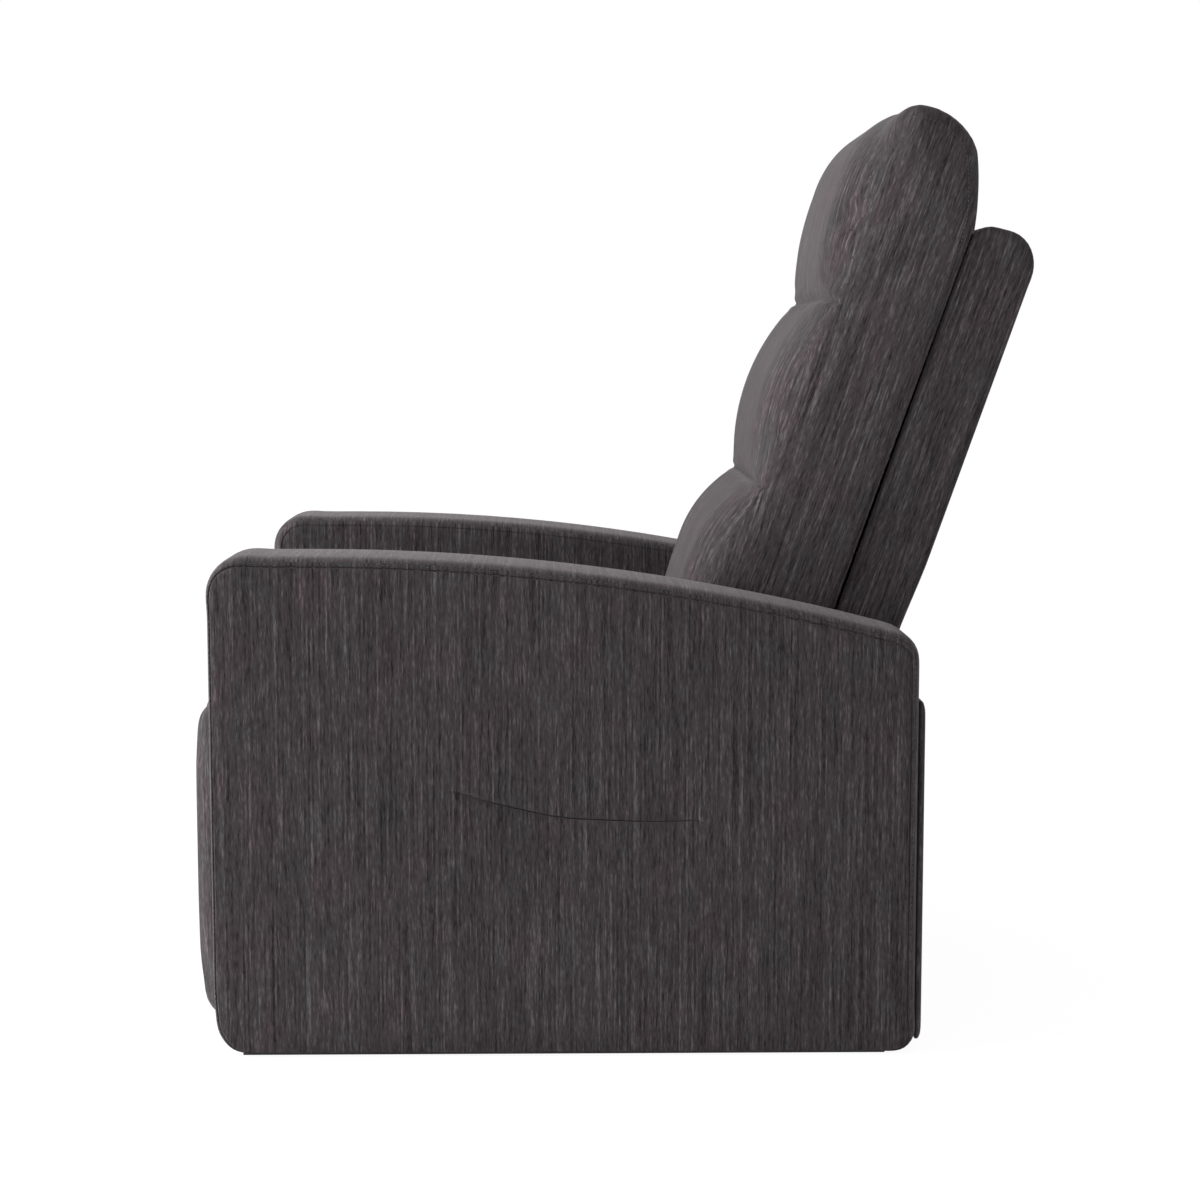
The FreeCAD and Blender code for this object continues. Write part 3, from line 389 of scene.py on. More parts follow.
def rows_of(items, name, width=3, kind=float):
    """What every item says under a name, one row each."""
    rows = np.empty(len(items) * width, dtype=kind)
    items.foreach_get(name, rows)
    return rows.reshape(-1, width)


def points_of(obj):
    """A piece's points, one row each."""
    return rows_of(obj.data.vertices, "co")


def set_points(obj, points):
    """Moves a piece's points."""
    obj.data.vertices.foreach_set("co", points.ravel())
    obj.data.update()


def fade(value, start, end):
    """0 before start and 1 after end, easing between."""
    t = np.clip((value - start) / (end - start), 0, 1)
    return t * t * (3 - 2 * t)


def eased(loop, rounds):
    """The closed loop with its tight turns relaxed."""
    for _ in range(rounds):
        loop = (np.roll(loop, 1, 0) + 2 * loop + np.roll(loop, -1, 0)) / 4
    return loop


GRID = 18 * MM              # the squares that flat panels are cut into


def ringed(name, rings, material, **lay):
    """A closed mesh through a list of equal rings, with its cloth laid on it. The first and
    the last ring are filled with a flat panel, cut into squares so that it can swell."""
    count = len(rings[0])
    faces = [tuple(range(count))]
    for level in range(len(rings) - 1):
        low, high = level * count, (level + 1) * count
        for i in range(count):
            j = (i + 1) % count
            faces.append((low + i, low + j, high + j, high + i))
    top = (len(rings) - 1) * count
    faces.append(tuple(range(top, top + count)))
    mesh = bpy.data.meshes.new(name)
    mesh.from_pydata(np.vstack(rings).tolist(), [], faces)
    obj = placed(name, mesh)
    bm = bmesh.new()
    bm.from_mesh(mesh)
    bm.faces.ensure_lookup_table()
    for panel in (bm.faces[0], bm.faces[-1]):
        panel.normal_update()
        level = max(range(3), key=lambda k: abs(panel.normal[k]))
        geometry = list(panel.verts) + list(panel.edges) + [panel]
        for axis in {0, 1, 2} - {level}:
            along = [item.co[axis] for item in geometry if isinstance(item, bmesh.types.BMVert)]
            direction = [float(k == axis) for k in range(3)]
            for at in np.arange(min(along) + GRID, max(along) - GRID / 2, GRID):
                place = [float(at) * k for k in direction]
                geometry = bmesh.ops.bisect_plane(bm, geom=geometry, dist=1e-6, plane_co=place,
                                                  plane_no=direction)["geom"]
    bmesh.ops.recalc_face_normals(bm, faces=bm.faces)
    bm.to_mesh(mesh)
    bm.free()
    mesh.materials.append(material)
    mesh.polygons.foreach_set("use_smooth", [True] * len(mesh.polygons))
    lay_weave(obj, **lay)
    return obj


def leaned(y, z, lean):
    """How far along a line that leans back a place lies, and how far ahead of that line."""
    return z * math.cos(lean) + y * math.sin(lean), z * math.sin(lean) - y * math.cos(lean)


def lay_weave(obj, lean=0.0, pivot=(0.0, 0.0), over_arm=False):
    """Lays the cloth on a piece by the way each face looks: threads run up its sides and its
    front, and on over its top, or across the top of an arm. A leaning piece leans them."""
    mesh = obj.data
    if "weave" not in mesh.uv_layers:
        mesh.uv_layers.new(name="weave")
    layer = mesh.uv_layers["weave"]
    points = points_of(obj)
    upright, ahead = leaned(points[:, 1] - pivot[0], points[:, 2] - pivot[1], lean)
    across = points[:, 0] - MIDDLE
    uv = np.empty((len(mesh.loops), 2))
    for face in mesh.polygons:
        nx = abs(face.normal.x)
        n_up, n_ahead = map(abs, leaned(face.normal.y, face.normal.z, lean))
        for corner in face.loop_indices:
            v = mesh.loops[corner].vertex_index
            if nx >= n_up and nx >= n_ahead:
                uv[corner] = (ahead[v], upright[v])
            elif n_ahead >= n_up:
                uv[corner] = (across[v] + 0.37, upright[v])
            elif over_arm:
                uv[corner] = (ahead[v], across[v] + 0.61)
            else:
                uv[corner] = (across[v] + 0.37, -ahead[v] + 0.61)
    layer.data.foreach_set("uv", uv.ravel())


chenille = slub_chenille("charcoal_slub_chenille")

# How far in from the arm's outline, and how far across from its outer face, each line of
# the section lies. The fold of the seam is at 10.7 mm and its top-stitching at 7.6 mm.
ARM_SECTION = (
    (26.0, 0.0), (20.0, 0.0), (15.5, 0.1), (13.2, 0.5), (12.0, 1.0), (11.3, 2.0), (10.7, 3.7),
    (10.0, 1.9), (9.3, 1.3), (8.4, 1.6), (7.6, 2.4), (6.9, 2.5), (5.4, 3.9), (3.6, 6.6), (2.1, 10.2),
    (1.0, 15.0), (0.4, 22.0), (0.1, 34.0), (0.0, 50.0))
STITCHED = 10               # which line of the section the top-stitching follows
INNER_EDGE = (
    (0.1, 34.0), (0.4, 22.0), (1.0, 15.0), (2.1, 10.2), (3.6, 6.6), (5.4, 3.6), (7.6, 1.5),
    (9.6, 0.4), (11.8, -0.2))


def full_corners(loop):
    """An arm's outline with its foam fuller at the upper front corner and at the sole, where
    the cloth sags round the strip, and slimmer low down at the front."""
    normal = outward(loop)
    front, top = np.clip(-normal[:, 0], 0, 1), np.clip(normal[:, 1], 0, 1)
    ends, sole = np.abs(normal[:, 0]), np.clip(-normal[:, 1], 0, 1)
    upper = 13 * np.clip(front + top - 1, 0, 1) * (1 - fade(loop[:, 0] / MM, -400, -330))
    rearward = fade(loop[:, 0] / MM, -300, 0)
    lower = (2 + 6 * rearward) * np.clip(ends + sole - 1, 0, 1) + 2.2 * sole
    slim = 4 * front * (1 - fade(loop[:, 1] / MM, 15, 75))
    return eased(loop + normal * ((upper + lower - slim) * MM)[:, None], 2)


def flat_ring(x, loop, normal, inset, rounds):
    """The outline drawn in by some millimetres and eased, in the plane at x."""
    tuck = np.broadcast_to(inset, len(loop))[:, None]
    return np.column_stack([np.full(len(loop), x), eased(loop - normal * tuck * MM, rounds)])


def arm_rings(side, wall=12.0, width=132.0):
    """The arm's rings, from the outer panel over the top strip to the inner side's lining.
    The outer edge is tucked in less along the sole and down the front."""
    outer = MIDDLE + side * HALF_WIDTH
    loop = even(outline_of("left_arm_cover" if side > 0 else "right_arm_cover", outer), 6 * MM)
    loop = even(full_corners(loop), 6 * MM)
    normal = outward(loop)
    fuller = np.maximum(0.75 * np.clip(-normal[:, 1], 0, 1), 0.55 * np.clip(-normal[:, 0], 0, 1))
    rings = []
    for inset, across in ARM_SECTION + tuple((i, width - d) for i, d in INNER_EDGE):
        outside = inset < 16 and across < width / 2
        tuck = inset * (1 - fuller) if outside else inset
        rings.append(flat_ring(outer - side * across * MM, loop, normal, tuck, int(inset / 3)))
    for inset, across in ((wall, width - 0.4), (wall + 0.3, width - 6), (wall + 0.3, wall + 0.6),
                          (wall + 2, wall + 0.3)):
        rings.append(flat_ring(outer - side * across * MM, loop, normal, inset, 4))
    return rings


def swell(obj, towards, plane, amount, inset):
    """Lets the foam press a flat panel out, most in its middle and not at its seams."""
    points = points_of(obj)
    on = np.abs(points[:, 0] - plane) < 0.6 * MM
    face = points[on][:, 1:]
    low, high = face.min(axis=0), face.max(axis=0)
    rims = 1 - np.exp(-np.clip(np.minimum(face - low, high - face) - 3 * MM, 0, None) / inset)
    points[on, 0] += towards * amount * rims.prod(axis=1)
    set_points(obj, points)


arm_seams = {}
for side, hand in ((1, "left"), (-1, "right")):
    rings = arm_rings(side)
    arm = ringed(hand + "_arm_upholstery", rings, chenille, over_arm=True)
    swell(arm, side, MIDDLE + side * HALF_WIDTH, 1.6 * MM, 30 * MM)
    arm_seams[hand] = rings[STITCHED]
    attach(arm, "base")
    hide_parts(hand + "_arm_cover")


def repeated(name, kind):
    """A node tree that lays small solids along a line, each turned to follow it."""
    tree = bpy.data.node_groups.new(name, "GeometryNodeTree")
    for socket, socket_kind, value in (
            ("Geometry", "NodeSocketGeometry", None), ("Pitch", "NodeSocketFloat", None),
            ("Size", "NodeSocketVector", None), ("Spread", "NodeSocketFloat", 0.12),
            ("Seed", "NodeSocketInt", None), ("Material", "NodeSocketMaterial", None)):
        made = tree.interface.new_socket(socket, in_out="INPUT", socket_type=socket_kind)
        if value is not None:
            made.default_value = value
    tree.interface.new_socket("Geometry", in_out="OUTPUT", socket_type="NodeSocketGeometry")
    given = add_node(tree, "NodeGroupInput").outputs
    curve = add_node(tree, "GeometryNodeMeshToCurve", {"Mesh": given["Geometry"]}).outputs["Curve"]
    spaced = add_node(tree, "GeometryNodeResampleCurve",
                      {"Curve": curve, "Length": given["Pitch"]}, mode="LENGTH")
    places = add_node(tree, "GeometryNodeCurveToPoints",
                      {"Curve": spaced.outputs["Curve"]}, mode="EVALUATED")
    turned = add_node(tree, "FunctionNodeAlignRotationToVector",
                      {"Vector": places.outputs["Tangent"]}, axis="Z")
    least = maths(tree, "SUBTRACT", 1.0, given["Spread"])
    most = maths(tree, "ADD", 1.0, given["Spread"])
    vary = add_node(tree, "FunctionNodeRandomValue",
                    {"Min": least, "Max": most, "Seed": given["Seed"]}, data_type="FLOAT")
    scale = add_node(tree, "ShaderNodeVectorMath", {"Vector": given["Size"]}, operation="SCALE")
    tree.links.new(next(o for o in vary.outputs if o.type == "VALUE" and o.enabled), scale.inputs["Scale"])
    solid = add_node(tree, kind)
    if kind == "GeometryNodeMeshUVSphere":
        solid.inputs["Segments"].default_value = 6
        solid.inputs["Rings"].default_value = 4
        solid.inputs["Radius"].default_value = 0.5
    laid = add_node(tree, "GeometryNodeInstanceOnPoints",
                    {"Points": places.outputs["Points"], "Instance": solid.outputs["Mesh"],
                     "Rotation": turned.outputs["Rotation"], "Scale": scale.outputs["Vector"]})
    real = add_node(tree, "GeometryNodeRealizeInstances", {"Geometry": laid.outputs["Instances"]})
    coloured = add_node(tree, "GeometryNodeSetMaterial",
                        {"Geometry": real.outputs["Geometry"], "Material": given["Material"]})
    add_node(tree, "NodeGroupOutput", {"Geometry": coloured.outputs["Geometry"]})
    return tree


def take_result(obj):
    """Applies whatever modifiers a piece has."""
    depsgraph = bpy.context.evaluated_depsgraph_get()
    result = bpy.data.meshes.new_from_object(obj.evaluated_get(depsgraph))
    old = obj.data
    obj.modifiers.clear()
    obj.data = result
    bpy.data.meshes.remove(old)
    result.name = obj.name


def cut_from(obj, cutter):
    """Cuts one shape out of a piece."""
    carve = obj.modifiers.new("cut", "BOOLEAN")
    carve.operation = "DIFFERENCE"
    carve.solver = "EXACT"
    carve.object = cutter
    take_result(obj)
    bpy.data.objects.remove(cutter)


def lay_along(name, lines, tree, body, **inputs):
    """Runs a repeating tree along lines of points, as one plain mesh on one body."""
    mesh = bpy.data.meshes.new(name)
    starts = np.cumsum([0] + [len(line) for line in lines])
    edges = [(int(start) + i, int(start) + i + 1)
             for start, line in zip(starts, lines) for i in range(len(line) - 1)]
    mesh.from_pydata(np.vstack(lines).tolist(), edges, [])
    obj = placed(name, mesh)
    modifier = obj.modifiers.new("laid", "NODES")
    modifier.node_group = tree
    names = {item.name: item.identifier for item in tree.interface.items_tree if item.in_out == "INPUT"}
    for name_of, value in inputs.items():
        modifier[names[name_of]] = value
    take_result(obj)
    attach(obj, body)


def sewing_thread(name):
    """Bonded polyester thread two shades darker than the cloth, with its twist just showing."""
    material, tree, shader = new_material(name, Roughness=0.5, Sheen_Weight=0.1)
    twist = noise(tree, object_place(tree), 1 / (0.5 * MM), Detail=2.0)
    wire(tree, shader, Base_Color=two_tone(tree, twist, "#131213", "#2b292a", 0.35, 0.65))
    return material


thread = sewing_thread("charcoal_polyester_thread")
stitches = repeated("sewn_stitches", "GeometryNodeMeshUVSphere")
for side, hand in ((1, "left"), (-1, "right")):
    row = arm_seams[hand]
    shown = np.roll(row, -int(np.argmin(row[:, 2] - row[:, 1] * 0.2)), 0)
    shown = shown[shown[:, 2] > 40 * MM] + (side * 0.4 * MM, 0, 0)
    lay_along(hand + "_arm_stitches", [shown], stitches, "base", Material=thread, Pitch=6 * MM,
              Size=(1.5 * MM, 1.5 * MM, 4.2 * MM), Seed=11 + side)

# The torque tube comes out through the right arm.
HOLE_RADIUS = 12 * MM
low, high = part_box("lever_escutcheon")
hole_at = Matrix.Translation((MIDDLE - HALF_WIDTH, (low.y + high.y) / 2, (low.z + high.z) / 2))
tube_hole = bmesh.new()
bmesh.ops.create_cone(tube_hole, cap_ends=True, segments=48, radius1=HOLE_RADIUS, radius2=HOLE_RADIUS,
                      depth=60 * MM, matrix=hole_at @ Matrix.Rotation(math.pi / 2, 4, "Y"))
hole_mesh = bpy.data.meshes.new("tube_hole")
tube_hole.to_mesh(hole_mesh)
tube_hole.free()
cut_from(bpy.data.objects["right_arm_upholstery"], placed("tube_hole", hole_mesh))

# The pocket in the left arm is a slit in the outer panel, 270 mm long. It starts high at
# the front and levels out to the rear. A thin bag of lining cloth hangs from it in the arm.
SLIT = ((-171, 298), (-144, 289), (-101, 278), (-57, 269), (-13, 266), (41, 264), (96, 265))


def new_solid(name, points, faces):
    """A closed mesh with its faces turned outward."""
    mesh = bpy.data.meshes.new(name)
    mesh.from_pydata(points, [], faces)
    bm = bmesh.new()
    bm.from_mesh(mesh)
    bmesh.ops.recalc_face_normals(bm, faces=bm.faces)
    bm.to_mesh(mesh)
    bm.free()
    return placed(name, mesh)


def blade(name, line, width, x_low, x_high):
    """A thin solid along a line of (y, z) points, for cutting a slit."""
    line = np.array(line, dtype=float) * MM
    run = np.gradient(line, axis=0)
    across = np.column_stack([-run[:, 1], run[:, 0]])
    across /= np.linalg.norm(across, axis=1)[:, None]
    taper = np.sin(np.linspace(0, math.pi, len(line))) ** 0.4 * 0.8 + 0.2
    half = across * (width / 2 * taper)[:, None]
    ring = np.vstack([line + half, (line - half)[::-1]])
    count = len(ring)
    points = [(x, y, z) for x in (x_low, x_high) for y, z in ring]
    faces = [tuple(range(count)), tuple(range(2 * count - 1, count - 1, -1))]
    faces += [(i, (i + 1) % count, (i + 1) % count + count, i + count) for i in range(count)]
    return new_solid(name, points, faces)


def curved(points, step):
    """A smooth curve through points, in even steps."""
    points = np.array(points, dtype=float)
    fine = np.linspace(0, len(points) - 1, 40 * len(points))
    padded = np.vstack([2 * points[0] - points[1], points, 2 * points[-1] - points[-2]])
    seg = np.minimum(fine.astype(int), len(points) - 2)
    u = (fine - seg)[:, None]
    a, b, c, d = (padded[seg + k] for k in range(4))
    smooth = 0.5 * (2 * b + (c - a) * u + (2 * a - 5 * b + 4 * c - d) * u ** 2
                    + (3 * b - a - 3 * c + d) * u ** 3)
    run = np.concatenate([[0], np.cumsum(np.linalg.norm(np.diff(smooth, axis=0), axis=1))])
    at = np.linspace(0, run[-1], max(2, int(run[-1] / step) + 1))
    return np.column_stack([np.interp(at, run, smooth[:, k]) for k in range(points.shape[1])])


left_face = MIDDLE + HALF_WIDTH
cut_from(bpy.data.objects["left_arm_upholstery"],
         blade("slit", curved(SLIT, 6), 1.7 * MM, left_face - 8 * MM, left_face + 6 * MM))


def inner_pad(side, hand):
    """The padded panel on the arm's seat side, tucked in all round behind the strip."""
    node = hand + "_arm_inner_pad"
    low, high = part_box(node)
    inner = low.x if side > 0 else high.x
    loop = even(full_corners(even(outline_of(node, inner), 7 * MM)), 7 * MM)
    normal = outward(loop)
    section = ((16, -0.6), (8, -0.5), (3, -0.4), (0.8, -0.1), (-0.5, 0.6), (-0.8, 4.0),
               (-0.8, 11.7), (6, 11.8))
    rings = [flat_ring(inner + side * across * MM, loop, normal, inset, int(inset / 3))
             for inset, across in section]
    pad = ringed(hand + "_inner_panel", rings, chenille)
    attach(pad, "base")
    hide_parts(node)


inner_pad(1, "left")
inner_pad(-1, "right")

# ---- Side pocket ----
# A bag of thin black lining cloth, sewn to the slit and hanging slack behind the panel.


def lining_cloth(name):
    """Plain-woven polyester lining: a fine over-and-under grid with a low shine."""
    material, tree, shader = new_material(name, Roughness=0.68, Sheen_Weight=0.1)
    weave = add_node(tree, "ShaderNodeUVMap", uv_map="weave").outputs["UV"]
    threads = add_node(tree, "ShaderNodeTexChecker",
                       {"Vector": stretched(tree, weave, (1 / (1.2 * MM), 1 / (1.2 * MM), 1)), "Scale": 1.0,
                        "Color1": linear("#17171a"), "Color2": linear("#26262a")}).outputs
    wire(tree, shader, Base_Color=threads["Color"], Normal=relief(tree, threads["Fac"], 0.4, 0.1 * MM))
    return material


black_lining = lining_cloth("black_polyester_lining")
pouch_low, pouch_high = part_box("side_pocket")


def pouch_ring(z, squeeze, slack):
    """One level of the bag: a flat oval that wanders as slack cloth does."""
    turn = np.linspace(0, 2 * math.pi, 72, endpoint=False)
    half_x = (pouch_high.x - pouch_low.x) / 2 - 1 * MM
    half_y = (pouch_high.y - pouch_low.y) / 2 - 1 * MM
    x = np.sign(np.cos(turn)) * np.abs(np.cos(turn)) ** 0.7 * half_x * squeeze
    y = np.sign(np.sin(turn)) * np.abs(np.sin(turn)) ** 0.35 * half_y
    x = x * (1 - slack * 0.35 * (1 + np.sin(5 * turn + z * 60)) / 2)
    centre = (pouch_low + pouch_high) / 2
    return np.column_stack([centre.x + x, centre.y + y, np.full(len(turn), z)])


hang = pouch_high.z - pouch_low.z - 4 * MM
rings = [pouch_ring(pouch_high.z - hang * t, 1 - 0.25 * t, t) for t in np.linspace(0, 1, 14)]
rings += [pouch_ring(pouch_low.z + 0.5 * MM, 0.5, 1.0)]
raised = np.array((0, 0, 1.5 * MM))
lining = [ring.mean(axis=0) + (ring - ring.mean(axis=0)) * (0.86, 0.99, 1.0) + raised for ring in rings]
lining[0] = lining[0] - raised
pouch = ringed("pocket_bag", rings[::-1] + lining, black_lining)
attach(pouch, "base")
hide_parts("side_pocket")

# ---- Outside back panel ----
# Chenille pulled over a thin board and stapled behind, closing the chair between the arms.


def covered_board(name, node, body):
    """A board upright across the chair, its cloth turned round the edges."""
    low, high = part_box(node)
    corner = 9 * MM
    loop = []
    for x, z, first in ((high.x - corner, high.z - corner, 0), (low.x + corner, high.z - corner, 90),
                        (low.x + corner, low.z + corner, 180), (high.x - corner, low.z + corner, 270)):
        for step in range(7):
            angle = math.radians(first + 15 * step)
            loop.append((x + corner * math.cos(angle), z + corner * math.sin(angle)))
    loop = even(np.array(loop), 8 * MM)
    normal = outward(loop)
    depth = high.y - low.y
    rings = []
    for inset, back in ((10, 0.1), (6, 0.7), (2.6, 2.0), (0.9, 3.6), (0.2, 5.2), (0.6, 7.3), (5, 7.5)):
        flat = eased(loop - normal * inset * MM, int(inset / 2))
        y = np.full(len(loop), high.y - min(back * MM, depth))
        rings.append(np.column_stack([flat[:, 0], y, flat[:, 1]]))
    board = ringed(name, rings, chenille)
    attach(board, body)
    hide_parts(node)


covered_board("rear_cover", "outside_back_panel", "base")

# ---- Seat cushion ----
# A block of foam in a sewn chenille cover, lying on the springs between the arms. It is
# blown up as cloth so that the cover strains over the foam, and rests flat underneath.


def foam_block(name, node, voxel, trim):
    """A slightly smaller, even-meshed copy of a CAD solid, ready to be blown up."""
    bm = mesh_of(node)
    mesh = bpy.data.meshes.new(name)
    bm.to_mesh(mesh)
    bm.free()
    obj = placed(name, mesh)
    remesh = obj.modifiers.new("remesh", "REMESH")
    remesh.mode = "VOXEL"
    remesh.voxel_size = voxel
    remesh.use_smooth_shade = True
    take_result(obj)
    obj.data.materials.clear()
    set_points(obj, points_of(obj) - rows_of(obj.data.vertex_normals, "vector") * trim)
    return obj


def relax(obj, weight, rounds):
    """Softens a surface: each point moves towards the middle of its neighbours."""
    a, b = rows_of(obj.data.edges, "vertices", 2, int).T
    points = points_of(obj)
    degree = np.bincount(a, minlength=len(points)) + np.bincount(b, minlength=len(points))
    for _ in range(rounds):
        total = np.zeros_like(points)
        for k in range(3):
            total[:, k] = (np.bincount(a, points[b, k], len(points))
                           + np.bincount(b, points[a, k], len(points)))
        points += (total / degree[:, None] - points) * (0.5 * weight)[:, None]
    set_points(obj, points)


PUFF = 4.0                  # air pressure inside a cushion's cover
STIFFNESS = 18              # how hard the cover's cloth is to stretch


def blow_up(obj, most, sewn):
    """Cloth under air pressure, held at its sewn points, each point moving `most` at most."""
    before = points_of(obj)
    group = obj.vertex_groups.new(name="sewn")
    group.add([int(i) for i in np.flatnonzero(sewn)], 1.0, "REPLACE")
    cloth = obj.modifiers.new("cloth", "CLOTH")
    settings = cloth.settings
    settings.quality = 6
    settings.mass = 0.35
    settings.tension_stiffness = STIFFNESS
    settings.compression_stiffness = STIFFNESS
    settings.shear_stiffness = STIFFNESS / 2
    settings.bending_stiffness = 0.6
    settings.vertex_group_mass = "sewn"
    settings.use_pressure = True
    settings.uniform_pressure_force = PUFF
    settings.effector_weights.gravity = 0
    cloth.point_cache.frame_end = 20
    for frame_number in range(1, 21):
        bpy.context.scene.frame_set(frame_number)
    move = points_of(obj.evaluated_get(bpy.context.evaluated_depsgraph_get())) - before
    size = np.linalg.norm(move, axis=1)
    move *= np.minimum(1, most / np.maximum(size, 1e-9))[:, None]
    obj.modifiers.clear()
    obj.vertex_groups.clear()
    bpy.context.scene.frame_set(1)
    set_points(obj, before + move)


def refine(obj):
    """One round of subdivision, which rounds the even mesh off."""
    finer = obj.modifiers.new("finer", "SUBSURF")
    finer.levels = finer.render_levels = 1
    take_result(obj)


seat = foam_block("seat_upholstery", "seat_cushion", 7 * MM, 7 * MM)
low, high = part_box("seat_cushion")
points = points_of(seat)
under = points[:, 2] < low.z + 12 * MM
relax(seat, np.where(under, 0.3, 1.0), 12)
blow_up(seat, 24 * MM, under & (np.abs(points[:, 0] - MIDDLE) < 200 * MM))
points = points_of(seat)
points[:, 2] = np.maximum(points[:, 2], low.z + 0.2 * MM)
beside_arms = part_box("left_arm_inner_pad")[0].x - MIDDLE - 3.5 * MM
points[:, 0] = np.clip(points[:, 0], MIDDLE - beside_arms, MIDDLE + beside_arms)
points[:, 1] = np.clip(points[:, 1], low.y - 1 * MM, high.y)
set_points(seat, points)
relax(seat, np.ones(len(points)), 3)
refine(seat)
seat.data.materials.append(chenille)
lay_weave(seat)
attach(seat, "base")
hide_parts("seat_cushion")

# ---- Footrest pad ----
# A foam pad in chenille, stapled round the plywood board that the linkage swings out. Its
# front, top and bottom edges are soft, and its back lies flat on the board.


def settle(obj, node, weight, lift):
    """Brings a blown-up cover back to the size its piece was cut to, each point by weight,
    and lifts it off that shape a little."""
    bm = mesh_of(node)
    shape = BVHTree.FromBMesh(bm)
    points = points_of(obj)
    lifts = np.broadcast_to(lift, len(points))
    near = np.array([found[0] + found[1] * rise
                     for found, rise in zip(map(shape.find_nearest, points), lifts)])
    bm.free()
    set_points(obj, points + (near - points) * weight[:, None])


footrest = foam_block("footrest_upholstery", "footrest_pad", 6 * MM, 5 * MM)
low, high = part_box("footrest_pad")
points = points_of(footrest)
behind = points[:, 1] > high.y - 12 * MM
relax(footrest, np.where(behind, 0.4, 1.0), 10)
blow_up(footrest, 16 * MM, behind)
beside = np.abs(points_of(footrest)[:, 0] - MIDDLE) / MM
settle(footrest, "footrest_pad", 0.6 + 0.35 * fade(beside, 80, 190), 3 * MM)
points = points_of(footrest)
# Both its front edges are rounder than the rest, the lower one most.
relax(footrest, fade(points[:, 2] / MM, 300, 350) * (1 - fade(points[:, 1] / MM, -446, -436)), 40)
points = points_of(footrest)
rounded = 6 * np.exp(-((points[:, 2] - low.z - 30 * MM) / (26 * MM)) ** 2)
points[:, 1] += rounded * MM * (1 - fade((points[:, 1] - low.y) / MM, 8, 30))
points[:, 1] = np.minimum(points[:, 1], high.y - 0.1 * MM)
set_points(footrest, points)
relax(footrest, np.ones(len(points)), 2)
refine(footrest)
footrest.data.materials.append(chenille)
lay_weave(footrest)
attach(footrest, "footrest")
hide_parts("footrest_pad")

# ---- Back shell ----
# The outside back: chenille over card and thin foam on the leaning timber frame, sewn down
# both rear edges. It is open in front, where the webbing and the pillow close it.

LEAN = math.radians(19.3)
BACK_AT = (370.65 * MM, 794 * MM)       # Y and Z of a point in the plane where pillow and shell meet


def on_back(along, ahead):
    """Y and Z of a point given along the leaning back and ahead of it, in mm."""
    return (BACK_AT[0] + (along * math.sin(LEAN) - ahead * math.cos(LEAN)) * MM,
            BACK_AT[1] + (along * math.cos(LEAN) + ahead * math.sin(LEAN)) * MM)


SHELL_DEPTH = 76            # the shell's front rim to its rear face
loop = even(outline_of("back_shell", shell_high.x), 6 * MM)
normal = outward(loop)
level, ahead = leaned(loop[:, 0] - BACK_AT[0], loop[:, 1] - BACK_AT[1], LEAN)
up, fore = leaned(normal[:, 0], normal[:, 1], LEAN)
upward, behind, before = (np.clip(way, 0, 1) for way in (up, -fore, fore))
dome = np.sin(math.pi * np.clip(-ahead / MM / SHELL_DEPTH, 0, 1)) ** 0.8
fuller = 6 * upward * dome + 3.5 * np.clip(upward + behind - 1, 0, 1) + 3.5 * behind
loop = loop + normal * (fuller * fade(level / MM, -340, -240) * MM)[:, None]
section = ((13, 0.0), (9, 0.1), (6, 0.4), (3.8, 1.1), (2.0, 2.4), (0.8, 4.2), (0.1, 7.5), (0.0, 14),
           (0.0, 40), (0.0, 90), (0.0, 140), (0.0, 190), (0.0, 224))
SHELL_WIDTH = 2 * section[-1][1]
rings = [flat_ring(shell_high.x - across * MM, loop, normal, inset * (1 - 0.6 * before), int(inset / 3))
         for inset, across in section + tuple((i, SHELL_WIDTH - d) for i, d in section[-2::-1])]
shell = ringed("back_upholstery", rings, chenille, lean=LEAN, pivot=BACK_AT)


def leaning_box(name, half, along, ahead):
    """A box that leans with the back, for hollowing the shell."""
    corners = [on_back(s, n) for s, n in ((along[0], ahead[1]), (along[0], ahead[0]),
                                          (along[1], ahead[0]), (along[1], ahead[1]))]
    points = [(MIDDLE + x, y, z) for x in (-half, half) for y, z in corners]
    sides = [(k, k + 4, (k + 1) % 4 + 4, (k + 1) % 4) for k in range(4)]
    return new_solid(name, points, [(0, 1, 2, 3), (7, 6, 5, 4)] + sides)


cut_from(shell, leaning_box("hollow", 212 * MM, (-400, 117.4), (-64, 8)))
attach(shell, "back")
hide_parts("back_shell")

# ---- Back pillow ----
# One fibre-filled cover with head, middle and lumbar chambers, parted by two channels sewn
# straight across. Side panels close it, each with a row of stitching near its upper edge.

pillow = foam_block("pillow_upholstery", "back_pillow", 6 * MM, 5 * MM)


def back_coordinates(points):
    """How far along the back and how far ahead of it points lie, and how far from its middle."""
    along, ahead = leaned(points[:, 1] - BACK_AT[0], points[:, 2] - BACK_AT[1], LEAN)
    return along / MM, ahead / MM, np.abs(points[:, 0] - MIDDLE) / MM


CHANNELS = (-3, -227)       # where the sewn channels lie along the back
ROLL = (115, 192)           # from the middle, where the front rolls over to the sides
SIDE = 212                  # from the middle to where the side panels begin to bulge
BULGE = 17                  # how far they may bulge


def facing(along, ahead):
    """1 on the pillow's front, where the side edges are soft, and 0 on its top and rear."""
    return fade(ahead - np.maximum(0, along - 100) * 0.75, 5, 80)


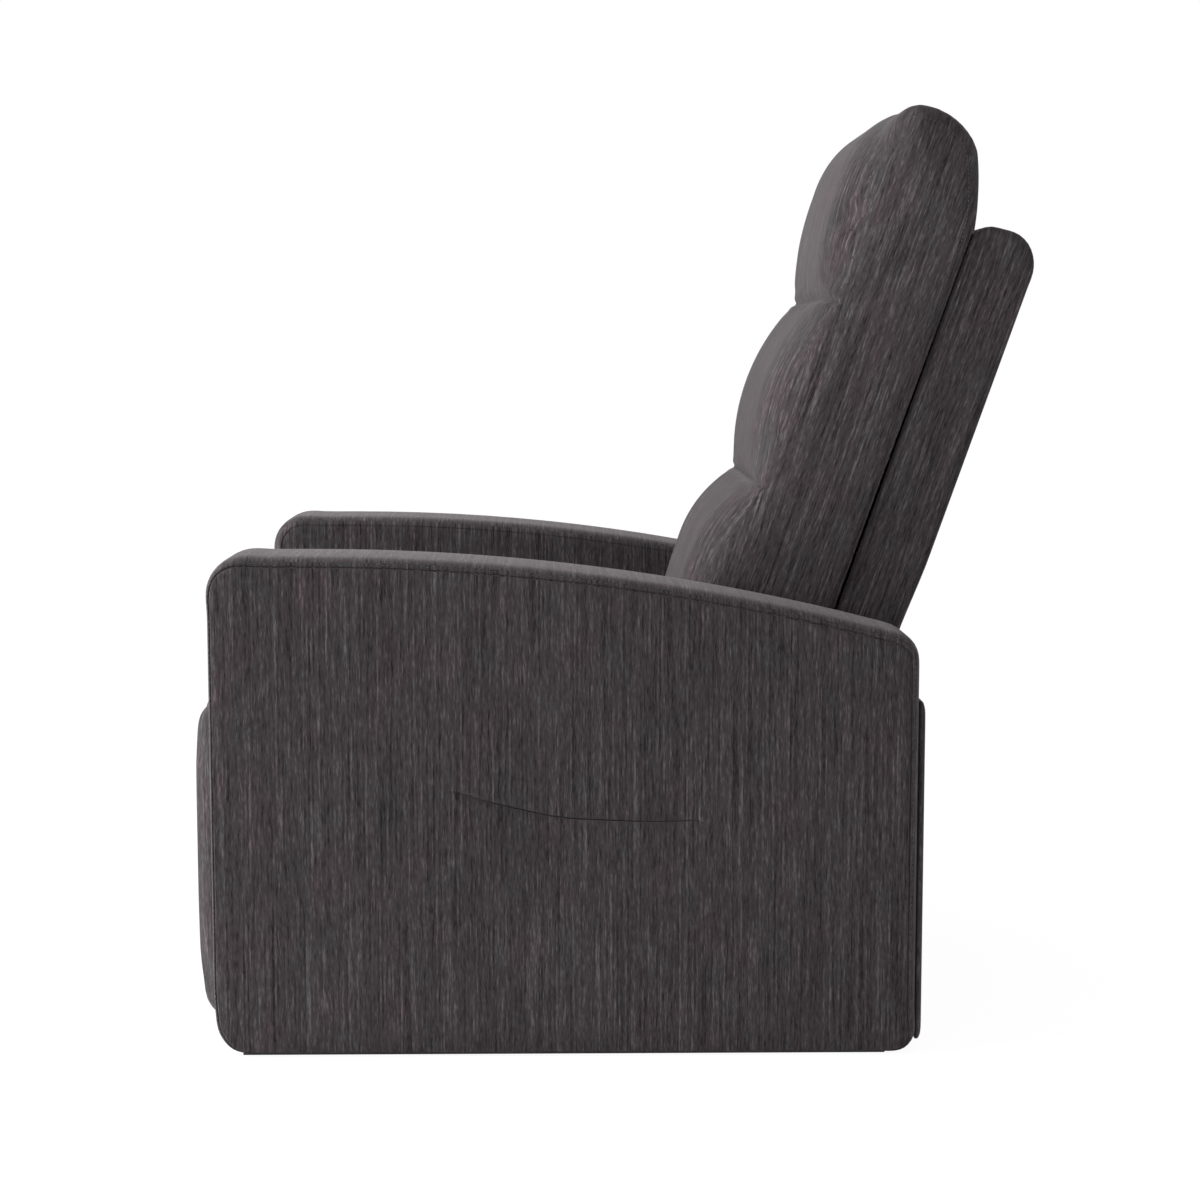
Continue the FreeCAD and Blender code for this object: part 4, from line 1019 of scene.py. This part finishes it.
along, ahead, beside = back_coordinates(points_of(pillow))
relax(pillow, fade(beside, *ROLL) * facing(along, ahead), 300)
along, ahead, beside = back_coordinates(points_of(pillow))
channel = np.any([np.abs(along - place) < 5 for place in CHANNELS], axis=0)
rear = (ahead < 12) & (along < 110)
blow_up(pillow, 22 * MM, channel & (ahead > 100) & (beside < 205) | rear)
points = points_of(pillow)
beside = np.abs(points[:, 0] - MIDDLE) / MM
out = (beside - SIDE) / BULGE
eased_out = np.where(out > 0, SIDE + BULGE * np.tanh(out), beside)
points[:, 0] = MIDDLE + np.sign(points[:, 0] - MIDDLE) * eased_out * MM
set_points(pillow, points)
along, ahead, beside = back_coordinates(points)
settle(pillow, "back_pillow",
       0.95 * np.maximum(1 - fade(beside, *ROLL), 1 - facing(along, ahead)),
       (2.8 + 3 * fade(along, 150, 225)) * MM)
relax(pillow, np.full(len(pillow.data.vertices), 0.6), 2)
refine(pillow)
points = points_of(pillow)
along, ahead, beside = back_coordinates(points)
reach = (1 - fade(beside, 196, 218)) * fade(ahead, 70, 100)
pull = np.zeros(len(points))
for place in CHANNELS:
    off = np.abs(along - place)
    pull += 5.5 * np.exp(-(off / 4.5) ** 2)
    wander = np.cos(points[:, 0] / (13 * MM) + 2.1 * np.sin(points[:, 0] / (41 * MM)) + place)
    pull += 0.9 * wander * np.exp(-((off - 11) / 9) ** 2)
pull *= reach
slack = (1 + (3.5 - 2.2 * fade(along, -250, 100)) * fade(beside, 192, 210)) * (along < 118)
pull -= np.clip(slack - ahead, 0, None)
points[:, 1] += pull * math.cos(LEAN) * MM
points[:, 2] -= pull * math.sin(LEAN) * MM
widest = 231 * MM           # clear of the arms' inner pads
points[:, 0] = np.clip(points[:, 0], MIDDLE - widest, MIDDLE + widest)
set_points(pillow, points)
pillow.data.materials.append(chenille)
lay_weave(pillow, LEAN, BACK_AT)
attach(pillow, "back")
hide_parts("back_pillow")


def surface_of(obj):
    """A piece's surface, ready to be met by rays."""
    mesh = obj.data
    return BVHTree.FromPolygons([v.co for v in mesh.vertices], [tuple(f.vertices) for f in mesh.polygons])


def cast_line(surface, starts, direction, lift):
    """The points where rays from starts meet a surface, lifted off it a little."""
    found = []
    for start in starts:
        hit, normal, _, _ = surface.ray_cast(Vector(start), Vector(direction))
        if hit is not None:
            found.append(hit + normal * lift)
    return np.array(found)


skin = surface_of(pillow)
rows = []
for place in CHANNELS:
    y, z = on_back(place, 260)
    starts = [(MIDDLE + x * MM, y, z) for x in np.linspace(-206, 206, 120)]
    rows.append(cast_line(skin, starts, (0, math.cos(LEAN), -math.sin(LEAN)), 0.1 * MM))
gusset = even(outline_of("back_pillow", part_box("back_pillow")[1].x), 5 * MM)
gusset = eased(gusset - outward(gusset) * 10.5 * MM, 3)
level, front, _ = back_coordinates(np.column_stack([np.zeros(len(gusset)), gusset]))
kept = (level > 40) & (front < 105)
start_at = int(np.flatnonzero(kept & ~np.roll(kept, 1))[0])
gusset = np.roll(gusset, -start_at, 0)[:int(kept.sum())]
for side in (1, -1):
    starts = [(MIDDLE + side * 0.4, y, z) for y, z in gusset]
    rows.append(cast_line(skin, starts, (-side, 0, 0), 0.1 * MM))
lay_along("pillow_stitches", rows, stitches, "back", Material=thread, Pitch=5 * MM,
          Size=(1.3 * MM, 1.3 * MM, 3.8 * MM), Seed=5)

# ---- Webbing ----
# Five bands of 50 mm elastic webbing, black with two pale stripes, stapled to the stiles in
# two rows at each end. The pillow's weight has left them slightly bowed to the rear.


def elastic_webbing(name):
    """Ribbed woven elastic: fine cross ribs, and two pale lines woven along the band."""
    material, tree, shader = new_material(name, Roughness=0.75)
    weave = add_node(tree, "ShaderNodeUVMap", uv_map="weave").outputs["UV"]
    split = add_node(tree, "ShaderNodeSeparateXYZ", {"Vector": weave}).outputs
    rib = maths(tree, "SINE", maths(tree, "MULTIPLY", split["X"], 2 * math.pi / (1.6 * MM)))
    from_line = maths(tree, "SUBTRACT", maths(tree, "ABSOLUTE", split["Y"]), 15 * MM)
    distance = maths(tree, "ABSOLUTE", from_line)
    wire(tree, shader, Base_Color=two_tone(tree, distance, "#a9a59a", "#1e1e20", 1.2 * MM, 1.6 * MM),
         Normal=relief(tree, rib, 0.5, 0.2 * MM))
    return material


black_webbing = elastic_webbing("woven_elastic_webbing")
BANDS = [-320 + 85 * k for k in range(5)]       # where each band's lower edge lies along the back
HALF_BAND = 25
BAND_REACH = 208
FREE = 176                  # from the middle to where the stiles hold the bands
ACROSS = 36                 # steps across the back
STAPLED = (-199, -189, 189, 199)
band_section = ((-1, -10.4), (-1 / 3, -10.2), (1 / 3, -10.2), (1, -10.4),
                (1, -11.7), (0, -11.8), (-1, -11.7))
count = len(band_section)
points, faces, uvs = [], [], []
for lower in BANDS:
    centre = lower + HALF_BAND
    base = len(points)
    for step in range(ACROSS + 1):
        x = -BAND_REACH + 2 * BAND_REACH * step / ACROSS
        bow = 3.5 * math.cos(math.pi * x / (2 * FREE)) if abs(x) < FREE else 0.0
        for part, ahead_of in band_section:
            y, z = on_back(centre + part * HALF_BAND, ahead_of - bow)
            points.append((MIDDLE + x * MM, y, z))
            uvs.append((x * MM, part * HALF_BAND * MM))
    for step in range(ACROSS):
        for k in range(count):
            a, b = base + step * count + k, base + step * count + (k + 1) % count
            faces.append((a, b, b + count, a + count))
    faces.append(tuple(range(base, base + count)))
    faces.append(tuple(range(base + ACROSS * count + count - 1, base + ACROSS * count - 1, -1)))
bands = new_solid("webbing_bands", points, faces)
mesh = bands.data
layer = mesh.uv_layers.new(name="weave")
layer.data.foreach_set("uv", np.array([uvs[loop.vertex_index] for loop in mesh.loops]).ravel())
mesh.materials.append(black_webbing)
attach(bands, "back")
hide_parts("back_webbing")

staples = repeated("driven_staples", "GeometryNodeMeshCube")
rows = []
for lower in BANDS:
    for x in STAPLED:
        ends = [on_back(lower + off, -10.1) for off in (5, 45)]
        rows.append(np.array([(MIDDLE + x * MM, y, z) for y, z in ends]))
lay_along("webbing_staples", rows, staples, "back", Material=zinc, Pitch=13 * MM,
          Size=(1.2 * MM, 0.7 * MM, 9.5 * MM), Spread=0.02, Seed=3)

# ---- Release lever ----
# A moulded escutcheon lines the hole in the arm, and a moulded grip is clipped over the
# lever's steel blade.

soft_grip = moulded_plastic("moulded_black_grip", "#1a1a1c", 0.62, grain=0.7 * MM, depth=0.08 * MM)
dress(black_polypropylene, "lever_escutcheon")
dress(soft_grip, "lever_grip")

# ---- Room ----
# A plain pale floor that runs out to white, soft studio light from the chair's front and a
# little from above, and a camera on the chair's left, looking slightly down at its side.


def seen_directly(tree):
    """1 for rays that a viewer sees, straight or by reflection, and 0 for rays that light."""
    rays = add_node(tree, "ShaderNodeLightPath").outputs
    direct = maths(tree, "MAXIMUM", rays["Is Camera Ray"], rays["Is Glossy Ray"])
    return maths(tree, "MAXIMUM", direct, rays["Is Transmission Ray"])


FLOOR_RADIUS = 30.0
white_floor, tree, shader = new_material("white_floor", Roughness=0.9)
shader.inputs["Base Color"].default_value = linear("#f2f2f2")
share = maths(tree, "MULTIPLY", seen_directly(tree), 0.86)
glow = add_node(tree, "ShaderNodeEmission", {"Color": (1, 1, 1, 1), "Strength": 1.1})
blend = add_node(tree, "ShaderNodeMixShader",
                 {"Fac": share, 1: shader.outputs["BSDF"], 2: glow.outputs["Emission"]})
tree.links.new(blend.outputs["Shader"], tree.nodes["Material Output"].inputs["Surface"])
floor_mesh = bpy.data.meshes.new("floor")
floor_bm = bmesh.new()
bmesh.ops.create_circle(floor_bm, cap_ends=True, segments=96, radius=FLOOR_RADIUS)
floor_bm.to_mesh(floor_mesh)
floor_bm.free()
floor_mesh.materials.append(white_floor)
floor = placed("floor", floor_mesh)

world = bpy.data.worlds.new("studio")
bpy.context.scene.world = world
world.use_nodes = True
tree = world.node_tree
heading = add_node(tree, "ShaderNodeTexCoord").outputs["Generated"]
height = add_node(tree, "ShaderNodeSeparateXYZ", {"Vector": heading}).outputs["Z"]
walls = mapped(tree, height, 0.0, 1.0, 0.85, 0.25)
strength = mixed(tree, seen_directly(tree), walls, 1.0)
background = tree.nodes["Background"]
background.inputs["Color"].default_value = (1, 1, 1, 1)
tree.links.new(strength, background.inputs["Strength"])


def soft_box(name, place, aim, size, power):
    """A large rectangular studio lamp."""
    lamp = bpy.data.lights.new(name, "AREA")
    lamp.shape = "RECTANGLE"
    lamp.size, lamp.size_y = size
    lamp.energy = power
    holder = placed(name, lamp)
    holder.location = place
    holder.rotation_euler = (Vector(aim) - Vector(place)).to_track_quat("-Z", "Y").to_euler()


soft_box("front_lamp", (0.6, -3.4, 1.5), (0, 0, 0.7), (2.4, 2.0), 196)
soft_box("overhead_lamp", (0.0, -0.2, 3.2), (0, 0, 0.5), (2.0, 2.4), 8)

CAMERA_AT = (2.88205, -0.05215, 0.78115)
turn, dip = math.radians(0.886), math.radians(6.237)
camera = placed("camera", bpy.data.cameras.new("camera"))
camera.data.lens = 69.97
camera.data.sensor_width = 36
camera.location = CAMERA_AT
gaze = Vector((-math.cos(turn) * math.cos(dip), math.sin(turn) * math.cos(dip), -math.sin(dip)))
camera.rotation_euler = gaze.to_track_quat("-Z", "Y").to_euler()
bpy.context.scene.camera = camera
bpy.context.scene.view_settings.view_transform = "Standard"
